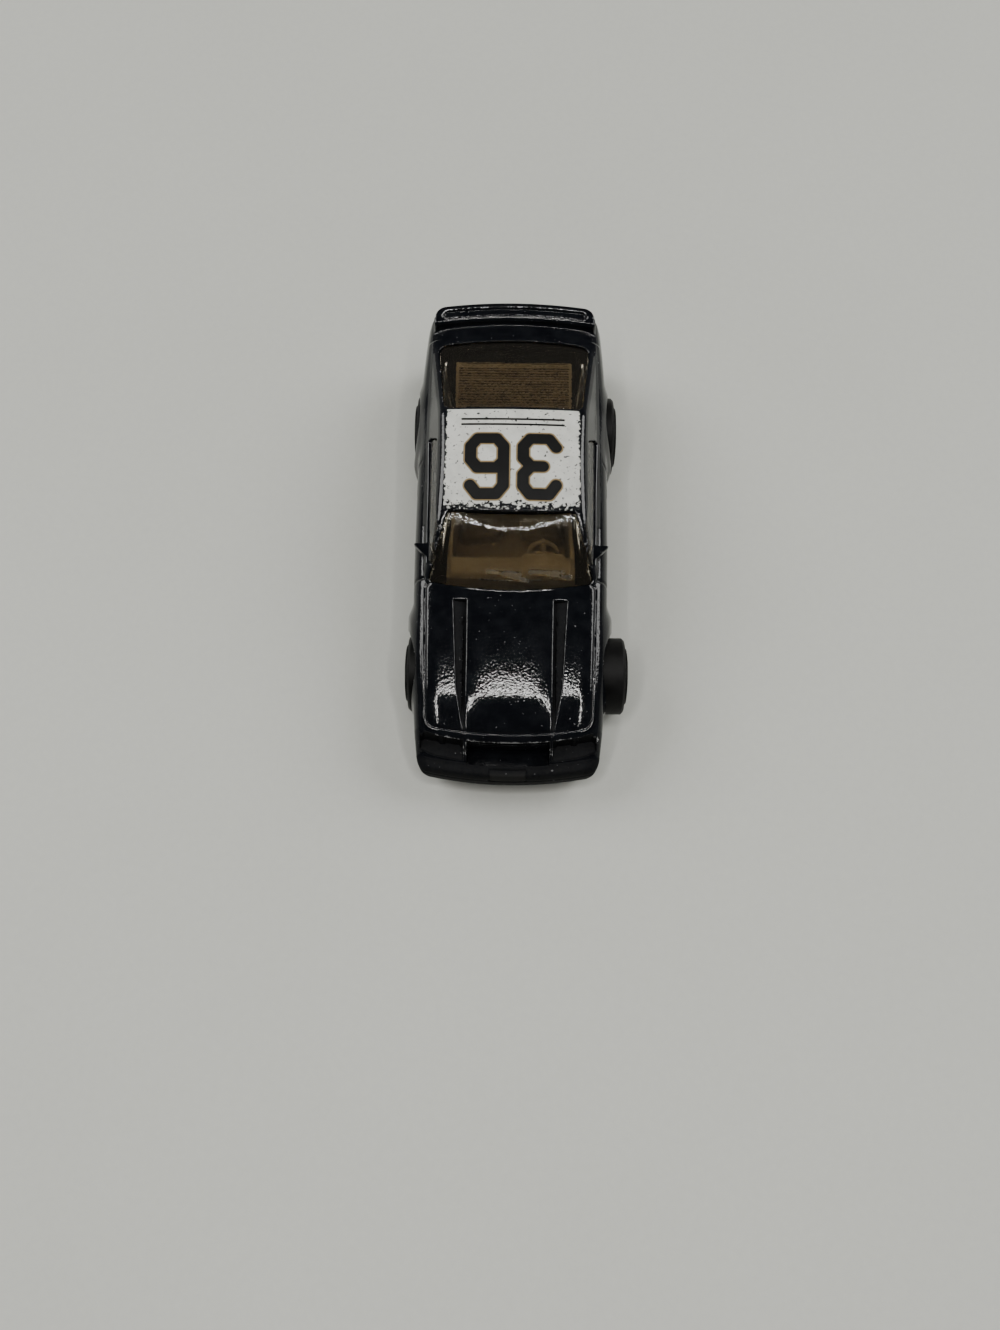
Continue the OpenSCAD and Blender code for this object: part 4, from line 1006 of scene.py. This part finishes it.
sheet("roof_number_edge", number_rim, NUMBER_LOW, NUMBER_HIGH, 0.16, PRINT_LIFT, tan_ink)
BLACK = (0.012, 0.012, 0.012)
sheet("roof_number", number, NUMBER_LOW, NUMBER_HIGH, 0.16, NUMBER_LIFT, printed("black_ink", BLACK, 0.9))
sheet("roof_stripes", stripes, (-8, 12.6), (8, 14.8), 0.1, PRINT_LIFT, printed("stripe_ink", BLACK, 0.7))

# Floor
FLOOR_HALF = 6000
floor_corners = [(u * FLOOR_HALF, v * FLOOR_HALF, FLOOR_Z) for u, v in ((-1, -1), (1, -1), (1, 1), (-1, 1))]
floor = new_object("floor", floor_corners, [(0, 1, 2, 3)])
floor_look, tree, shader = material("pale_floor", (0.64, 0.63, 0.61), 0.55)
cloud = noise(tree, object_place(tree), 0.02 * PER_MM, 3)
grain = noise(tree, object_place(tree), 0.9 * PER_MM, 2)
tone = maths(tree, "ADD", cloud, maths(tree, "SUBTRACT", grain, 0.5))
tree.links.new(mixed(tree, tone, (0.61, 0.622, 0.575), (0.57, 0.58, 0.535)), shader.inputs["Base Color"])
floor.data.materials.append(floor_look)

# Camera: focal length and frame height in pixels
FOCAL, FRAME_H, SENSOR = 1250, 1330, 36
CAMERA = np.array([0.31, -81.8, 178.17])
DOWN, YAW, ROLL = (math.radians(a) for a in (70.26, -1.55, -0.57))
look = np.array([math.sin(YAW) * math.cos(DOWN), math.cos(YAW) * math.cos(DOWN), -math.sin(DOWN)])
right = np.array([math.cos(YAW), -math.sin(YAW), 0])
up = np.cross(right, look)
right, up = math.cos(ROLL) * right + math.sin(ROLL) * up, math.cos(ROLL) * up - math.sin(ROLL) * right
camera = bpy.data.objects.new("camera", bpy.data.cameras.new("camera"))
camera.data.sensor_width = SENSOR
camera.data.lens = SENSOR * FOCAL / FRAME_H
camera.data.clip_start = 0.005
turned = Matrix(np.stack([right, up, -look], axis=1).tolist()).to_4x4()
camera.matrix_world = Matrix.Translation(Vector(CAMERA * MM)) @ turned
bpy.context.scene.collection.objects.link(camera)
bpy.context.scene.camera = camera

# Light: a far arc lamp, nearly overhead, and a pale room that is dark overhead
LAMP_FAR, LAMP_TILT = 7600, math.radians(16.5)
ARC_IN, ARC_OUT, ARC_N, ARC_POWER = 2640, 2830, 48, 55
ARC_START, ARC_END = math.radians(-25), math.radians(205)
toward = np.array([0, -math.sin(LAMP_TILT), math.cos(LAMP_TILT)])
back = np.array([0, math.cos(LAMP_TILT), math.sin(LAMP_TILT)])
aside = np.array([1, 0, 0])
turns = np.linspace(ARC_START, ARC_END, ARC_N + 1)
spokes = [math.cos(a) * aside + math.sin(a) * back for a in turns]
arc_points = [LAMP_FAR * toward + r * spoke for r in (ARC_IN, ARC_OUT) for spoke in spokes]
arc_faces = [(i, i + 1, ARC_N + 2 + i, ARC_N + 1 + i) for i in range(ARC_N)]
ring = new_object("arc_lamp", arc_points, arc_faces)
lamp_look, tree, shader = material("lamp", (0, 0, 0), 1)
shader.inputs["Emission Color"].default_value = (1, 0.98, 0.95, 1)
shader.inputs["Emission Strength"].default_value = ARC_POWER
ring.data.materials.append(lamp_look)
ring.visible_camera = False

# Two soft lights behind, left and right, that lay the shadow before the nose
BACK_FAR, BACK_R, BACK_RISE, BACK_TURN = 7600, 2400, math.radians(38), math.radians(63)
BACK_N, BACK_POWER = 32, 5.4
glow, tree, shader = material("back_lamp", (0, 0, 0), 1)
shader.inputs["Emission Color"].default_value = (1, 1, 0.98, 1)
shader.inputs["Emission Strength"].default_value = BACK_POWER
for name, way in (("back_lamp_left", 1), ("back_lamp_right", -1)):
    level, rise = BACK_FAR * math.cos(BACK_RISE), BACK_FAR * math.sin(BACK_RISE)
    centre = Vector((way * level * math.sin(BACK_TURN), level * math.cos(BACK_TURN), rise))
    turn = centre.to_track_quat("Z", "Y").to_matrix()
    angles = np.linspace(0, 2 * math.pi, BACK_N + 1)[:-1]
    rim = [centre + BACK_R * (turn @ Vector((math.cos(a), math.sin(a), 0))) for a in angles]
    disc = new_object(name, [tuple(p) for p in rim], [tuple(range(BACK_N))])
    disc.data.materials.append(glow)
    disc.visible_camera = False

world = bpy.data.worlds.new("room")
bpy.context.scene.world = world
world.use_nodes = True
tree = world.node_tree
split = tree.nodes.new("ShaderNodeSeparateXYZ")
tree.links.new(tree.nodes.new("ShaderNodeTexCoord").outputs["Generated"], split.inputs[0])
overhead = stepped(tree, split.outputs["Z"], 0.1, 0.5)
before = stepped(tree, maths(tree, "MULTIPLY", split.outputs["Y"], -1), 0.3, 0.8)
dark = maths(tree, "MAXIMUM", overhead, maths(tree, "MULTIPLY", before, 0.8))
room_light = tree.nodes["Background"]
tree.links.new(mixed(tree, dark, (0.2, 0.2, 0.202), (0.022, 0.022, 0.023)), room_light.inputs["Color"])
room_light.inputs["Strength"].default_value = 0.9
